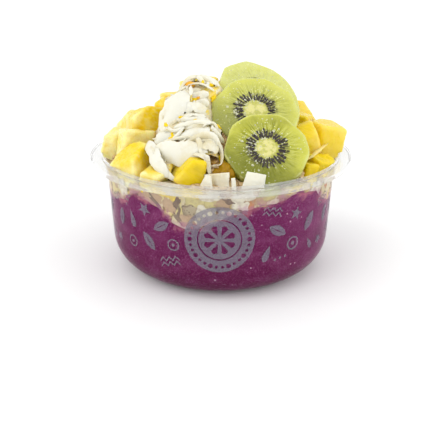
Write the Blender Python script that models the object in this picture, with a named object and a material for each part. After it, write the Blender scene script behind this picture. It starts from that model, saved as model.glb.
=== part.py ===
"""Pitaya bowl: a clear round tub of pitaya blend, heaped with granola, fruit and coconut.

Every size here is in millimetres. finish() scales each mesh to metres. X runs to the right,
Y to the back and Z up, and the tub stands on Z = 0 round the Z axis.
"""

import math
import random
from collections import namedtuple

import bmesh
import bpy
from mathutils import Euler, Matrix, Vector

MM = 0.001
GAP = 0.3                    # clearance left between pieces that rest on each other

# Tub: a thin round wall with a rounded foot, a flat flange and a lid bead standing on it.
TUB_WALL = 1.0
TUB_FOOT_RADIUS = 62.4       # where the side wall's line would meet the table
TUB_SHOULDER_RADIUS = 66.0
TUB_SHOULDER_HEIGHT = 64.8
TUB_CORNER_RADIUS = 21.0
TUB_FLANGE_RADIUS = 75.0
TUB_FLANGE_TOP = 67.0
TUB_SKIRT_BOTTOM = 64.6
TUB_BEAD_RADIUS = 68.8
TUB_BEAD_TOP = 68.8
TUB_SEGMENTS = 48
TUB_CORNER_STEPS = 5
TUB_RIM_SLOPE = 1.2          # rise from the shoulder to the underside of the flange
TUB_EDGE = 0.7               # rounding of the flange's edge
TUB_BEAD_EDGE = 0.2          # rounding of the bead
CONTENT_INSET = TUB_WALL + GAP

# Blend: its level against the wall, by angle from the front, positive to the right.
BLEND_MIDDLE = 52.0
BLEND_LEVELS = ((-180, 51), (-150, 55), (-120, 50), (-95, 53), (-70, 47), (-55, 50), (-42, 57.5),
                (-31, 52.5), (-22, 45), (-13, 42), (-4, 45.5), (4, 52), (18, 55), (41, 59),
                (50, 58), (58, 50), (68, 46), (85, 50), (115, 56), (150, 50))

# Bed of granola: a dome whose foot is at the wall.
BED_EDGE = 64.4
BED_HEIGHT = 34.0
BED_STEEPNESS = 1.5
BED_CENTRE = (4.0, 9.0)
BED_REACH = 64.0
BED_CRUMB = 0.7              # how far the bed's surface rolls up and down
HEAP_SEGMENTS = TUB_SEGMENTS
BED_RINGS = 7
BLEND_RINGS = 4
# Granola lumps that stand out of the bed: angle from the front, distance out, how many.
LUMP_PATCHES = ((-6, 50, 7), (-80, 60, 4), (48, 58, 4), (100, 58, 4), (180, 58, 4), (-130, 58, 4))
LUMP_SIZE = 3.2
LUMP_SPREAD = (8, 5)         # how far a lump strays round and across its patch

# Kiwi slices, set by the middle of the front face: tilt is the face normal's rise.
Slice = namedtuple("Slice", "name place tilt twist roll radius oval thickness")
KIWI_SLICES = (
    Slice("kiwi_slice_front", (24.2, -43.0, 81.4), 47, 6, 8, 22.3, 0.98, 6.5),
    Slice("kiwi_slice_middle", (19.1, -14.5, 94.4), 53, 0, -24, 24.3, 0.98, 7.0),
    Slice("kiwi_slice_back", (23.4, 13.0, 96.4), 50, 28, -66, 26.7, 0.87, 7.0),
)
KIWI_SIDES = 36
KIWI_FACETS = 9              # flats that the peeling knife left round the edge
KIWI_FACET_DEPTH = 0.045     # how far in a flat can lie, as a share of the radius
KIWI_CORNER = 1.02           # the corners between the flats stay inside this share
KIWI_PARING = 1.0            # rounding of a slice's edge

# Fruit: size is width, depth and height before the turn in degrees; slants are world cuts.
Chunk = namedtuple("Chunk", "name place size turn slants")
PINEAPPLE = (
    Chunk("pineapple_1", (-48, -37, 69), (20, 16, 22), (10, -8, -38), (((-0.55, -0.2, 0.8), 7),)),
    Chunk("pineapple_2", (-48, -18, 75), (19, 16, 17), (-8, 14, 22), ()),
    Chunk("pineapple_3", (-58, -10, 73), (15, 15, 16), (12, 14, -14), ()),
    Chunk("pineapple_4", (-42, 1, 83), (23, 19, 18), (-14, 10, 30), (((-0.6, 0, 0.8), 9),)),
    Chunk("pineapple_5", (-52, 12, 80), (14, 15, 14), (8, 10, 40), (((-0.7, 0, 0.7), 6),)),
    Chunk("pineapple_6", (-30, 15, 86), (16, 14, 14), (14, 6, -20), ()),
    Chunk("pineapple_7", (-35, -49, 65), (12, 12, 13), (6, 18, -20), ()),
)
MANGO = (
    Chunk("mango_1", (-18, -49, 69), (19, 15, 19), (0, 10, 8), (((-0.75, -0.2, 0.65), 5),)),
    Chunk("mango_2", (6, -47.5, 70), (15, 12, 14), (10, -10, 25), ()),
    Chunk("mango_3", (59, -4, 75), (18, 19, 20), (4, 14, 20), ()),
    Chunk("mango_4", (47, -13, 77), (14, 17, 18), (-6, -8, 12), ()),
    Chunk("mango_5", (55, -28, 66), (16, 12, 12), (14, 12, 34), ()),
    Chunk("mango_6", (45, 4, 81), (14, 14, 14), (-10, 6, -24), ()),
    Chunk("mango_7", (48, 24, 81), (14, 14, 14), (12, -28, 18), ()),
    Chunk("mango_8", (46, -38, 66), (8, 10, 12), (0, 12, 30), ()),
)
# Fruit round the back of the heap, by tiers: radius, height and the angles from +X.
BACK_TIERS = ((54.0, 72.0, (42, 64, 86, 108, 130, 152)), (36.0, 88.0, (34, 60, 86, 112, 138)),
              (20.0, 95.5, (50, 124)))
BACK_SIZE = 19.5
BACK_SIZE_RANGE = (0.85, 1.1)
BACK_STRAY = (4, 2)          # how far a block strays round its tier, in degrees, and in height
BACK_TURN = 25               # largest turn of a block about each axis
PINEAPPLE_FROM = 92          # back fruit at a greater angle is pineapple, the rest mango

# Fruit and cream-coloured pieces pressed against the wall under the rim.
WALL_CHUNKS = (
    Chunk("wall_fruit_1", (-27, -55, 60), (22, 13, 11), (0, 4, -24), ()),
    Chunk("wall_fruit_2", (-11, -56, 51.5), (20, 12, 13), (0, -12, -8), ()),
    Chunk("wall_fruit_3", (-20, -60, 48), (9, 7, 10), (0, 25, -18), ()),
    Chunk("wall_fruit_4", (55, -26, 56), (13, 15, 16), (0, 8, 62), ()),
    Chunk("wall_fruit_5", (-54, -29, 56), (13, 15, 15), (0, -8, -62), ()),
    Chunk("wall_fruit_6", (20, -58, 61), (18, 10, 9), (0, 4, 16), ()),
)
BLOCK_LEAN = 0.10            # how far a knife cut is off square
BLOCK_SIZE_RANGE = (0.92, 1.05)
BLOCK_EDGE = 1.1             # rounding of a cut edge
BLOCK_REACH = 0.9            # blocks further apart than this share of their sizes don't meet
CORNER_REACH = 0.75          # a block's corner lies within this share of its longest side
SPACE_GROWTH = 2.1           # corners move out this many margins, so that faces move one

# Coconut: shaved flakes on a lens-shaped core that lies on the front slope of the heap.
Flake = namedtuple("Flake", "place length width curl turn")
COCONUT_CENTRE = (-15.5, -19.0, 86.0)
COCONUT_RADII = (19.0, 37.0, 7.5)
COCONUT_LUMP = 0.05          # lumps of the core, as a share of its radii
COCONUT_SLOPE = 31.0
COCONUT_SWING = -17.0        # the lens runs from the front left up to the middle
FLAKE_THICKNESS = 1.0
FLAKE_STEPS = 5
COCONUT_FLAKES = (
    Flake((-24, -17, 95), 30, 15, 70, (50, -58, 10)),
    Flake((-12, -4, 104), 24, 8, 50, (25, 4, -6)),
    Flake((-13, -21, 94), 22, 10, 60, (38, -8, 8)),
    Flake((-16, -31, 88), 32, 9, 80, (48, 4, -12)),
    Flake((-20, -41, 81), 36, 13, 90, (40, -10, -24)),
    Flake((-31, -46, 75), 28, 11, 50, (30, 40, -60)),
    Flake((-3, -43, 80), 24, 9, 150, (35, 30, 20)),
    Flake((-2, -33, 87), 16, 7, 90, (60, 40, 30)),
    Flake((-6, -50, 74), 15, 5, 60, (10, -20, 10)),
    Flake((-27, -33, 86), 24, 9, 70, (38, -40, 40)),
    Flake((-6, 4, 106), 20, 8, 80, (15, 12, 24)),
    Flake((-17, 8, 103), 24, 9, 60, (-4, -14, 60)),
    Flake((-1.5, -28, 88), 26, 8, 45, (42, -14, 74)),
)
# Further flakes over the heap: how many, their spread across and along it, and their lift.
SPREAD_FLAKES = 8
SPREAD_ACROSS = 13.0
SPREAD_ALONG = 24.0
SPREAD_LIFT = 7.0
SPREAD_STRAY = 4.5

# Coconut chips standing between the fruit and the front wall.
Chip = namedtuple("Chip", "place height foot top curl turn")
COCONUT_CHIPS = (
    Chip((-7.5, -60.0, 64.5), 15, 12, 3, 20, (76, 10, -10)),
    Chip((-1.2, -57.8, 65.0), 14, 10, 14, 25, (66, -12, 4)),
    Chip((7.0, -61.8, 64.5), 13, 2.4, 2.0, 20, (80, -4, 20)),
    Chip((16.8, -60.4, 65.2), 16, 13, 10, 20, (84, 14, 14)),
)
CHIP_STEPS = 4

CUTTER_SETS = ("rim_space", "bed_space", "bed_below", "coconut_space", "flakes", "lumps")

COLOURS = {
    "clear_plastic": ((0.90, 0.93, 0.93), 0.06),
    "pitaya_blend": ((0.23, 0.03, 0.14), 0.45),
    "granola": ((0.52, 0.36, 0.19), 0.80),
    "kiwi": ((0.48, 0.58, 0.10), 0.35),
    "pineapple": ((0.92, 0.75, 0.18), 0.40),
    "mango": ((0.93, 0.66, 0.05), 0.35),
    "fruit_flesh": ((0.85, 0.75, 0.42), 0.40),
    "coconut": ((0.90, 0.88, 0.80), 0.55),
}


def make_material(name):
    """A Principled material with the colour and roughness of one kind of food or plastic."""
    colour, roughness = COLOURS[name]
    material = bpy.data.materials.new(name)
    material.use_nodes = True
    material.diffuse_color = (*colour, 1.0)
    shader = material.node_tree.nodes["Principled BSDF"]
    shader.inputs["Base Color"].default_value = (*colour, 1.0)
    shader.inputs["Roughness"].default_value = roughness
    shader.inputs["Metallic"].default_value = 0.0
    return material


def finish(bm, name, material, place, parent, sharp=40.0):
    """Turn a mesh in world millimetres into an object in metres whose origin is at place."""
    bmesh.ops.recalc_face_normals(bm, faces=bm.faces)
    bm.transform(Matrix.Scale(MM, 4) @ Matrix.Translation(-Vector(place)))
    mesh = bpy.data.meshes.new(name)
    bm.to_mesh(mesh)
    bm.free()
    mesh.shade_smooth()
    mesh.set_sharp_from_angle(angle=math.radians(sharp))
    mesh.materials.append(material)
    piece = bpy.data.objects.new(name, mesh)
    piece.location = Vector(place) * MM
    bpy.context.scene.collection.objects.link(piece)
    piece.parent = parent
    return piece


def as_cutter(bm, name, collection):
    """Turn a mesh in world millimetres into a cutter that only a Boolean sees."""
    bmesh.ops.recalc_face_normals(bm, faces=bm.faces)
    bm.transform(Matrix.Scale(MM, 4))
    mesh = bpy.data.meshes.new(name)
    bm.to_mesh(mesh)
    bm.free()
    cutter = bpy.data.objects.new(name, mesh)
    cutter.hide_render = True
    cutter.display_type = "WIRE"
    collection.objects.link(cutter)
    return cutter


def new_set(name):
    """A collection of cutters, linked to the scene so that their modifiers count."""
    collection = bpy.data.collections.new(name)
    bpy.context.scene.collection.children.link(collection)
    return collection


def combine(piece, operation, collection):
    """Join a collection's solids to a piece, or cut them out of it, and apply the result."""
    boolean = piece.modifiers.new(operation.title(), "BOOLEAN")
    boolean.operation = operation
    boolean.operand_type = "COLLECTION"
    boolean.collection = collection
    depsgraph = bpy.context.evaluated_depsgraph_get()
    result = bpy.data.meshes.new_from_object(piece.evaluated_get(depsgraph))
    piece.modifiers.clear()
    piece.data = result


def keep_largest(mesh):
    """Drop the loose scraps that a cut leaves beside the main body."""
    bm = bmesh.new()
    bm.from_mesh(mesh)
    unseen = set(bm.faces)
    islands = []
    while unseen:
        front = [unseen.pop()]
        island = []
        while front:
            face = front.pop()
            island.append(face)
            near = {other for edge in face.edges for other in edge.link_faces} & unseen
            unseen -= near
            front.extend(near)
        islands.append(island)
    islands.sort(key=lambda island: sum(face.calc_area() for face in island))
    scraps = [face for island in islands[:-1] for face in island]
    bmesh.ops.delete(bm, geom=scraps, context="FACES")
    bm.to_mesh(mesh)
    bm.free()


def tub_radius(height, inset):
    """Radius of the surface that lies inset inside the tub's outer face, at a height.

    It is an arc at the foot, which starts at the height of the inset, and a slightly flared
    line above.
    """
    slope = (TUB_SHOULDER_RADIUS - TUB_FOOT_RADIUS) / TUB_SHOULDER_HEIGHT
    reach = math.hypot(1, slope)
    arc = TUB_CORNER_RADIUS - inset
    corner = TUB_FOOT_RADIUS + TUB_CORNER_RADIUS * (slope - reach)
    if height >= TUB_CORNER_RADIUS - arc * slope / reach:
        return corner + arc * reach + slope * (height - TUB_CORNER_RADIUS)
    drop = TUB_CORNER_RADIUS - max(height, inset)
    return corner + math.sqrt(max(arc ** 2 - drop ** 2, 0.0))


def corner_heights(lowest, radius, steps):
    """Heights that step evenly round the corner arc, from the floor up to its top."""
    return [lowest + radius * (1 - math.cos(0.5 * math.pi * k / steps)) for k in range(steps + 1)]


def spin_profile(profile, segments):
    """Turn a closed outline of (radius, height) once round the Z axis."""
    bm = bmesh.new()
    ring = [bm.verts.new((radius, 0, height)) for radius, height in profile]
    edges = [bm.edges.new((ring[k - 1], ring[k])) for k in range(len(ring))]
    bmesh.ops.spin(bm, geom=ring + edges, cent=(0, 0, 0), axis=(0, 0, 1),
                   angle=2 * math.pi, steps=segments, use_merge=True)
    bmesh.ops.remove_doubles(bm, verts=bm.verts, dist=0.001)
    return bm


def tub_outline():
    """The tub's section from the middle of its base out, over the rim and back inside."""
    low_arc = corner_heights(0.0, TUB_CORNER_RADIUS, TUB_CORNER_STEPS)
    high_arc = corner_heights(TUB_WALL, TUB_CORNER_RADIUS - TUB_WALL, TUB_CORNER_STEPS)
    outer = [(tub_radius(z, 0.0), z) for z in low_arc]
    outer.append((tub_radius(TUB_SHOULDER_HEIGHT, 0.0), TUB_SHOULDER_HEIGHT - TUB_BEAD_EDGE))
    skirt = TUB_FLANGE_RADIUS - TUB_WALL
    bead = TUB_BEAD_RADIUS - TUB_WALL
    bead_shoulder = TUB_BEAD_TOP - TUB_BEAD_EDGE
    rim = [
        (TUB_SHOULDER_RADIUS + TUB_EDGE, TUB_SHOULDER_HEIGHT + TUB_EDGE),
        (skirt - TUB_EDGE, TUB_SHOULDER_HEIGHT + TUB_RIM_SLOPE),
        (skirt, TUB_SKIRT_BOTTOM),
        (TUB_FLANGE_RADIUS, TUB_SKIRT_BOTTOM),
        (TUB_FLANGE_RADIUS, TUB_FLANGE_TOP - TUB_EDGE),
        (TUB_FLANGE_RADIUS - TUB_EDGE, TUB_FLANGE_TOP),
        (TUB_BEAD_RADIUS + TUB_BEAD_EDGE, TUB_FLANGE_TOP),
        (TUB_BEAD_RADIUS, TUB_FLANGE_TOP + TUB_BEAD_EDGE),
        (TUB_BEAD_RADIUS, bead_shoulder),
        (TUB_BEAD_RADIUS - TUB_BEAD_EDGE, TUB_BEAD_TOP),
        (bead + TUB_BEAD_EDGE, TUB_BEAD_TOP),
        (bead, bead_shoulder),
        (bead, TUB_FLANGE_TOP - TUB_BEAD_EDGE),
    ]
    inner = [(tub_radius(z, TUB_WALL), z) for z in reversed(high_arc)]
    shoulder = [(tub_radius(TUB_SHOULDER_HEIGHT, TUB_WALL), TUB_SHOULDER_HEIGHT)]
    return outer + rim + shoulder + inner


def make_tub(material, parent):
    """The clear tub: one turned wall, closed by a flat floor."""
    outline = tub_outline()
    bm = bmesh.new()
    verts = [bm.verts.new((radius, 0, height)) for radius, height in outline]
    edges = [bm.edges.new(pair) for pair in zip(verts, verts[1:])]
    bmesh.ops.spin(bm, geom=verts + edges, cent=(0, 0, 0), axis=(0, 0, 1),
                   angle=2 * math.pi, steps=TUB_SEGMENTS, use_merge=True)
    bmesh.ops.remove_doubles(bm, verts=bm.verts, dist=0.001)
    rims = [edge for edge in bm.edges if edge.is_boundary]
    for height in (0.0, TUB_WALL):
        loop = [edge for edge in rims if abs(edge.verts[0].co.z - height) < 0.01]
        bmesh.ops.edgeloop_fill(bm, edges=loop)
    return finish(bm, "bowl", material, (0, 0, 0), parent, sharp=50)


def blend_wall_level(angle):
    """Height of the blend against the wall, smooth between the stated levels."""
    knots = list(BLEND_LEVELS) + [(BLEND_LEVELS[0][0] + 360, BLEND_LEVELS[0][1])]
    for (left, low), (right, high) in zip(knots, knots[1:]):
        if left <= angle <= right:
            share = (angle - left) / (right - left)
            ease = share * share * (3 - 2 * share)
            return low + (high - low) * ease
    return BLEND_MIDDLE


def blend_top(x, y):
    """Height of the top of the blend: its wall level outside, calm in the middle."""
    radius = math.hypot(x, y) / TUB_FOOT_RADIUS
    angle = math.degrees(math.atan2(x, -y))
    share = min(radius, 1.0) ** 3
    return BLEND_MIDDLE + (blend_wall_level(angle) - BLEND_MIDDLE) * share


def bed_top(x, y):
    """Height of the granola bed: a dome set back from the middle, meeting the wall all round."""
    across = math.hypot(x, y) / BED_REACH
    shift = max(0.0, 1.0 - across)
    reach = math.hypot(x - BED_CENTRE[0] * shift, y - BED_CENTRE[1] * shift) / BED_REACH
    roll = math.sin(0.9 * x + 1.3) * math.sin(0.8 * y) + 0.7 * math.sin(0.5 * x - 0.7 * y)
    dome = math.cos(0.5 * math.pi * min(reach, 1.0)) ** BED_STEEPNESS
    return BED_EDGE + BED_HEIGHT * dome + BED_CRUMB * roll


def polar_ring(bm, radii, angles, height_at):
    """A ring of verts at a radius and height for each angle."""
    ring = []
    for radius, angle in zip(radii, angles):
        x = radius * math.sin(angle)
        y = -radius * math.cos(angle)
        ring.append(bm.verts.new((x, y, height_at(x, y))))
    return ring


def bridge_rings(bm, inner, outer):
    """Faces between two rings of the same count."""
    count = len(inner)
    for k in range(count):
        after = (k + 1) % count
        bm.faces.new((inner[k], inner[after], outer[after], outer[k]))


def heap_angles():
    """Angles from the front, to the right, for the rings of the heaps."""
    return [math.radians(-180 + 360 * k / HEAP_SEGMENTS) for k in range(HEAP_SEGMENTS)]


def capped_surface(bm, height_at, rim_radii, rings):
    """A disc of rings round one middle vert, out to the rim radii; returns its outer ring."""
    angles = heap_angles()
    middle = bm.verts.new((0, 0, height_at(0, 0)))
    inner = None
    for k in range(1, rings + 1):
        radii = [radius * k / rings for radius in rim_radii]
        outer = polar_ring(bm, radii, angles, height_at)
        if inner is None:
            for j in range(len(outer)):
                bm.faces.new((middle, outer[j], outer[(j + 1) % len(outer)]))
        else:
            bridge_rings(bm, inner, outer)
        inner = outer
    return inner


def level_ring():
    """Angle, level and wall radius of the blend's edge at each step round the tub."""
    ring = []
    for angle in heap_angles():
        level = blend_wall_level(math.degrees(angle))
        ring.append((angle, level, tub_radius(level, CONTENT_INSET)))
    return ring


def add_blend_surface(bm, lift):
    """The top of the blend, lifted by a clearance; returns its outer ring of verts."""
    ring = level_ring()
    outer = capped_surface(bm, lambda x, y: blend_top(x, y) + lift, [r for _, _, r in ring],
                           BLEND_RINGS)
    for vert, (_, level, _) in zip(outer, ring):
        vert.co.z = level + lift
    return outer


def make_blend(material, parent):
    """The pitaya blend: it fills the tub up to its uneven level."""
    bm = bmesh.new()
    upper = add_blend_surface(bm, 0.0)
    arc = corner_heights(CONTENT_INSET, TUB_CORNER_RADIUS - CONTENT_INSET, 6)
    for step in (None, *reversed(arc)):
        lower = []
        for angle, level, _ in level_ring():
            height = 0.5 * (level + arc[-1]) if step is None else step
            radius = tub_radius(height, CONTENT_INSET)
            lower.append(bm.verts.new((radius * math.sin(angle), -radius * math.cos(angle), height)))
        bridge_rings(bm, upper, lower)
        upper = lower
    bm.faces.new(upper)
    return finish(bm, "pitaya_blend", material, (0, 0, 0), parent)


def blend_keep_out():
    """The space that the blend takes, with the gap, for pieces that stand on it."""
    bm = bmesh.new()
    upper = add_blend_surface(bm, GAP)
    for height in (None, CONTENT_INSET):
        lower = []
        for angle, level, radius in level_ring():
            reach = radius + TUB_WALL
            spot = (reach * math.sin(angle), -reach * math.cos(angle), height or level + GAP)
            lower.append(bm.verts.new(spot))
        bridge_rings(bm, upper, lower)
        upper = lower
    bm.faces.new(upper)
    return bm


def bed_solid(lift=0.0):
    """The granola bed before the toppings are cut out of it, its top lifted by a clearance."""
    bm = bmesh.new()
    lower = add_blend_surface(bm, GAP)
    radii = [tub_radius(BED_EDGE, CONTENT_INSET)] * HEAP_SEGMENTS
    upper = capped_surface(bm, lambda x, y: bed_top(x, y) + lift, radii, BED_RINGS)
    bridge_rings(bm, lower, upper)
    return bm


def granola_lumps():
    """Small rough lumps, half sunk in the bed where it shows between the toppings."""
    rng = random.Random(5)
    lumps = []
    for angle, distance, count in LUMP_PATCHES:
        for _ in range(count):
            spin = math.radians(angle + rng.uniform(-1, 1) * LUMP_SPREAD[0])
            reach = distance + rng.uniform(-1, 0.4) * LUMP_SPREAD[1]
            x, y = reach * math.sin(spin), -reach * math.cos(spin)
            bm = bmesh.new()
            bmesh.ops.create_icosphere(bm, subdivisions=1, radius=LUMP_SIZE * rng.uniform(0.6, 1.1))
            for vert in bm.verts:
                vert.co *= rng.uniform(0.8, 1.1)
                vert.co += Vector((x, y, bed_top(x, y)))
            lumps.append(bm)
    return lumps


def slice_frame(kiwi):
    """World frame of a slice: X and Y in its face, Z out of the front, at the face's middle."""
    tilt = math.radians(kiwi.tilt)
    twist = math.radians(kiwi.twist)
    normal = Vector((math.sin(twist) * math.cos(tilt), -math.cos(twist) * math.cos(tilt),
                     math.sin(tilt)))
    side = Vector((math.cos(twist), math.sin(twist), 0))
    frame = Matrix((side, normal.cross(side), normal)).transposed().to_4x4()
    return Matrix.Translation(kiwi.place) @ frame @ Matrix.Rotation(math.radians(kiwi.roll), 4, "Z")


def slice_outline(kiwi, grow):
    """Radius of the slice's knife-peeled outline at each of its sides."""
    rng = random.Random(kiwi.name)
    cuts = []
    for k in range(KIWI_FACETS):
        angle = 2 * math.pi * (k + rng.uniform(-0.25, 0.25)) / KIWI_FACETS
        cuts.append((angle, kiwi.radius * rng.uniform(1 - KIWI_FACET_DEPTH, 1)))
    outline = []
    for k in range(KIWI_SIDES):
        angle = 2 * math.pi * k / KIWI_SIDES
        radius = kiwi.radius * KIWI_CORNER
        for cut_angle, distance in cuts:
            across = math.cos(angle - cut_angle)
            if across > 0:
                radius = min(radius, distance / across)
        outline.append((angle, radius + grow))
    return outline


def slice_solid(kiwi, grow=0.0, forward=0.0):
    """A slice as a stack of outlines: pared front edge, straight side, pared back edge."""
    bm = bmesh.new()
    frame = slice_frame(kiwi)
    outline = slice_outline(kiwi, grow)
    front = forward + grow
    back = -kiwi.thickness - grow
    layers = ((front, KIWI_PARING), (front - 0.6 * KIWI_PARING, 0.0),
              (back + KIWI_PARING, 0.0), (back, KIWI_PARING))
    rings = []
    for depth, paring in layers:
        ring = []
        for angle, radius in outline:
            reach = radius - paring
            x = reach * math.cos(angle)
            y = reach * math.sin(angle) * kiwi.oval
            ring.append(bm.verts.new(frame @ Vector((x, y, depth))))
        rings.append(ring)
    for above, below in zip(rings, rings[1:]):
        bridge_rings(bm, above, below)
    bm.faces.new(rings[0])
    bm.faces.new(reversed(rings[-1]))
    return bm


def trim(bm, point, normal):
    """Cut away what lies beyond a plane, and close the cut."""
    geometry = bm.verts[:] + bm.edges[:] + bm.faces[:]
    cut = bmesh.ops.bisect_plane(bm, geom=geometry, dist=1e-4, plane_co=point, plane_no=normal,
                                 clear_outer=True)
    edges = [item for item in cut["geom_cut"] if isinstance(item, bmesh.types.BMEdge)]
    if edges:
        bmesh.ops.edgeloop_fill(bm, edges=edges)


def block(chunk):
    """A knife-cut block in world millimetres: six sides, each a little off square."""
    rng = random.Random(chunk.name)
    turn = Euler([math.radians(angle) for angle in chunk.turn]).to_matrix()
    place = Vector(chunk.place)
    bm = bmesh.new()
    bmesh.ops.create_cube(bm, size=3 * max(chunk.size))
    bm.transform(Matrix.Translation(place))
    for axis in range(3):
        for side in (-1, 1):
            normal = Vector([rng.uniform(-BLOCK_LEAN, BLOCK_LEAN) for _ in range(3)])
            normal[axis] = side
            normal = (turn @ normal).normalized()
            reach = 0.5 * chunk.size[axis] * rng.uniform(*BLOCK_SIZE_RANGE)
            trim(bm, place + normal * reach, normal)
    for direction, reach in chunk.slants:
        normal = Vector(direction).normalized()
        trim(bm, place + normal * reach, normal)
    return bm


def part_from_neighbours(bm, chunk, others):
    """Cut a block back from the planes that share the space between it and its neighbours."""
    place = Vector(chunk.place)
    size = sum(chunk.size) / 3
    for other in others:
        if other.name == chunk.name:
            continue
        away = Vector(other.place) - place
        distance = away.length
        other_size = sum(other.size) / 3
        if distance > BLOCK_REACH * (size + other_size):
            continue
        share = 0.5 + (size ** 2 - other_size ** 2) / (8 * distance ** 2)
        normal = away.normalized()
        trim(bm, place + away * share - normal * 0.5 * GAP, normal)


def part_from_slices(bm, chunk, kiwis):
    """Cut a block back behind the kiwi slices that lean on it."""
    place = Vector(chunk.place)
    for kiwi in kiwis:
        frame = slice_frame(kiwi)
        local = frame.inverted() @ place
        beside = math.hypot(local.x, local.y) - kiwi.radius
        if beside > CORNER_REACH * max(chunk.size):
            continue
        normal = frame.to_3x3() @ Vector((0, 0, 1))
        if local.z < -0.5 * kiwi.thickness:
            trim(bm, Vector(kiwi.place) - normal * (kiwi.thickness + GAP), normal)
        else:
            trim(bm, Vector(kiwi.place) + normal * GAP, -normal)


def grown(bm, margin):
    """A copy of a block whose verts are moved out from its middle by the margin."""
    copy = bm.copy()
    middle = sum((vert.co for vert in copy.verts), Vector()) / len(copy.verts)
    for vert in copy.verts:
        away = vert.co - middle
        vert.co = middle + away * (1 + SPACE_GROWTH * margin / away.length)
    return copy


def back_fruit():
    """Blocks in tiers round the back of the heap, turned and placed by a seeded draw."""
    rng = random.Random(7)
    fruit = {"pineapple": [], "mango": []}
    for radius, height, angles in BACK_TIERS:
        for angle in angles:
            kind = "pineapple" if angle > PINEAPPLE_FROM else "mango"
            spin = math.radians(angle + rng.uniform(-1, 1) * BACK_STRAY[0])
            lift = rng.uniform(-1, 1) * BACK_STRAY[1]
            place = (radius * math.cos(spin), radius * math.sin(spin), height + lift)
            size = [BACK_SIZE * rng.uniform(*BACK_SIZE_RANGE) for _ in range(3)]
            turn = [rng.uniform(-BACK_TURN, BACK_TURN) for _ in range(3)]
            name = f"{kind}_back_{len(fruit[kind]) + 1}"
            fruit[kind].append(Chunk(name, place, size, turn, ()))
    return fruit


def tub_keep_out():
    """The space that the tub's wall and rim take, with the gap, for pieces near the rim."""
    heights = corner_heights(TUB_WALL, TUB_CORNER_RADIUS - TUB_WALL, 5)
    inner = [(tub_radius(height, CONTENT_INSET), height) for height in heights[2:]]
    top = TUB_BEAD_TOP + GAP
    bead = TUB_BEAD_RADIUS - TUB_WALL - GAP
    shoulder = tub_radius(TUB_SHOULDER_HEIGHT, CONTENT_INSET)
    ring = [(90, heights[2]), *inner, (shoulder, TUB_SHOULDER_HEIGHT),
            (bead, TUB_FLANGE_TOP - 0.2), (bead, top), (90, top)]
    return spin_profile(ring, HEAP_SEGMENTS)


def soften(bm):
    """A copy of a convex block with its edges and corners pared off by the rounding."""
    bmesh.ops.remove_doubles(bm, verts=bm.verts, dist=BLOCK_EDGE)
    soft = bmesh.new()
    for face in bm.faces:
        for loop in face.loops:
            spot = loop.vert.co.copy()
            for other in (loop.link_loop_next.vert.co, loop.link_loop_prev.vert.co):
                along = other - loop.vert.co
                spot += along * min(BLOCK_EDGE / along.length, 0.35)
            soft.verts.new(spot)
    bm.free()
    bmesh.ops.remove_doubles(soft, verts=soft.verts, dist=0.2)
    return hull_of(soft)


def hull_of(cloud):
    """The closed convex body round a cloud of verts."""
    hull = bmesh.ops.convex_hull(cloud, input=cloud.verts)
    inside = [item for item in hull["geom_interior"] if isinstance(item, bmesh.types.BMVert)]
    bmesh.ops.delete(cloud, geom=inside, context="VERTS")
    bmesh.ops.dissolve_limit(cloud, angle_limit=math.radians(1), verts=cloud.verts,
                             edges=cloud.edges)
    return cloud


def make_fruit(groups, materials, parent, keep_out):
    """All the fruit blocks, parted from each other, from the kiwi and from the tub."""
    every = [chunk for chunks in groups.values() for chunk in chunks]
    cutters = []
    for kind, chunks in groups.items():
        for chunk in chunks:
            bm = block(chunk)
            part_from_neighbours(bm, chunk, every)
            part_from_slices(bm, chunk, KIWI_SLICES)
            cutters.append(grown(bm, GAP))
            piece = finish(soften(bm), chunk.name, materials[kind], chunk.place, parent)
            reach = math.hypot(chunk.place[0], chunk.place[1]) + CORNER_REACH * max(chunk.size)
            if reach > TUB_SHOULDER_RADIUS - TUB_WALL:
                combine(piece, "DIFFERENCE", keep_out)
                keep_largest(piece.data)
    return cutters


def bent_strip(place, turn, length, curl, thickness, half_widths):
    """A strip bent to an arc along its length; half_widths has one value for each cross row."""
    bend = math.radians(curl)
    radius = length / bend
    steps = len(half_widths) - 1
    rotation = Euler([math.radians(angle) for angle in turn]).to_matrix()
    bm = bmesh.new()
    layers = []
    for side in (0.5, -0.5):
        rows = []
        for k, half in enumerate(half_widths):
            angle = bend * (k / steps - 0.5)
            row = []
            for across in (-1, 0, 1):
                lift = radius + side * thickness - 0.12 * half * abs(across)
                spot = Vector((lift * math.sin(angle), across * half, lift * math.cos(angle) - radius))
                row.append(bm.verts.new(Vector(place) + rotation @ spot))
            rows.append(row)
        layers.append(rows)
    top, bottom = layers
    for k in range(steps):
        for j in range(2):
            bm.faces.new((top[k][j], top[k + 1][j], top[k + 1][j + 1], top[k][j + 1]))
            bm.faces.new((bottom[k][j], bottom[k][j + 1], bottom[k + 1][j + 1], bottom[k + 1][j]))
        bm.faces.new((top[k][0], bottom[k][0], bottom[k + 1][0], top[k + 1][0]))
        bm.faces.new((top[k][2], top[k + 1][2], bottom[k + 1][2], bottom[k][2]))
    for k in (0, steps):
        for j in range(2):
            bm.faces.new((top[k][j], top[k][j + 1], bottom[k][j + 1], bottom[k][j]))
    return bm


def flake_solid(flake):
    """A shaved flake with narrowed ends."""
    shares = [2 * k / FLAKE_STEPS - 1 for k in range(FLAKE_STEPS + 1)]
    halves = [0.5 * flake.width * (1 - 0.75 * abs(share) ** 3) for share in shares]
    return bent_strip(flake.place, flake.turn, flake.length, flake.curl, FLAKE_THICKNESS, halves)


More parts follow.
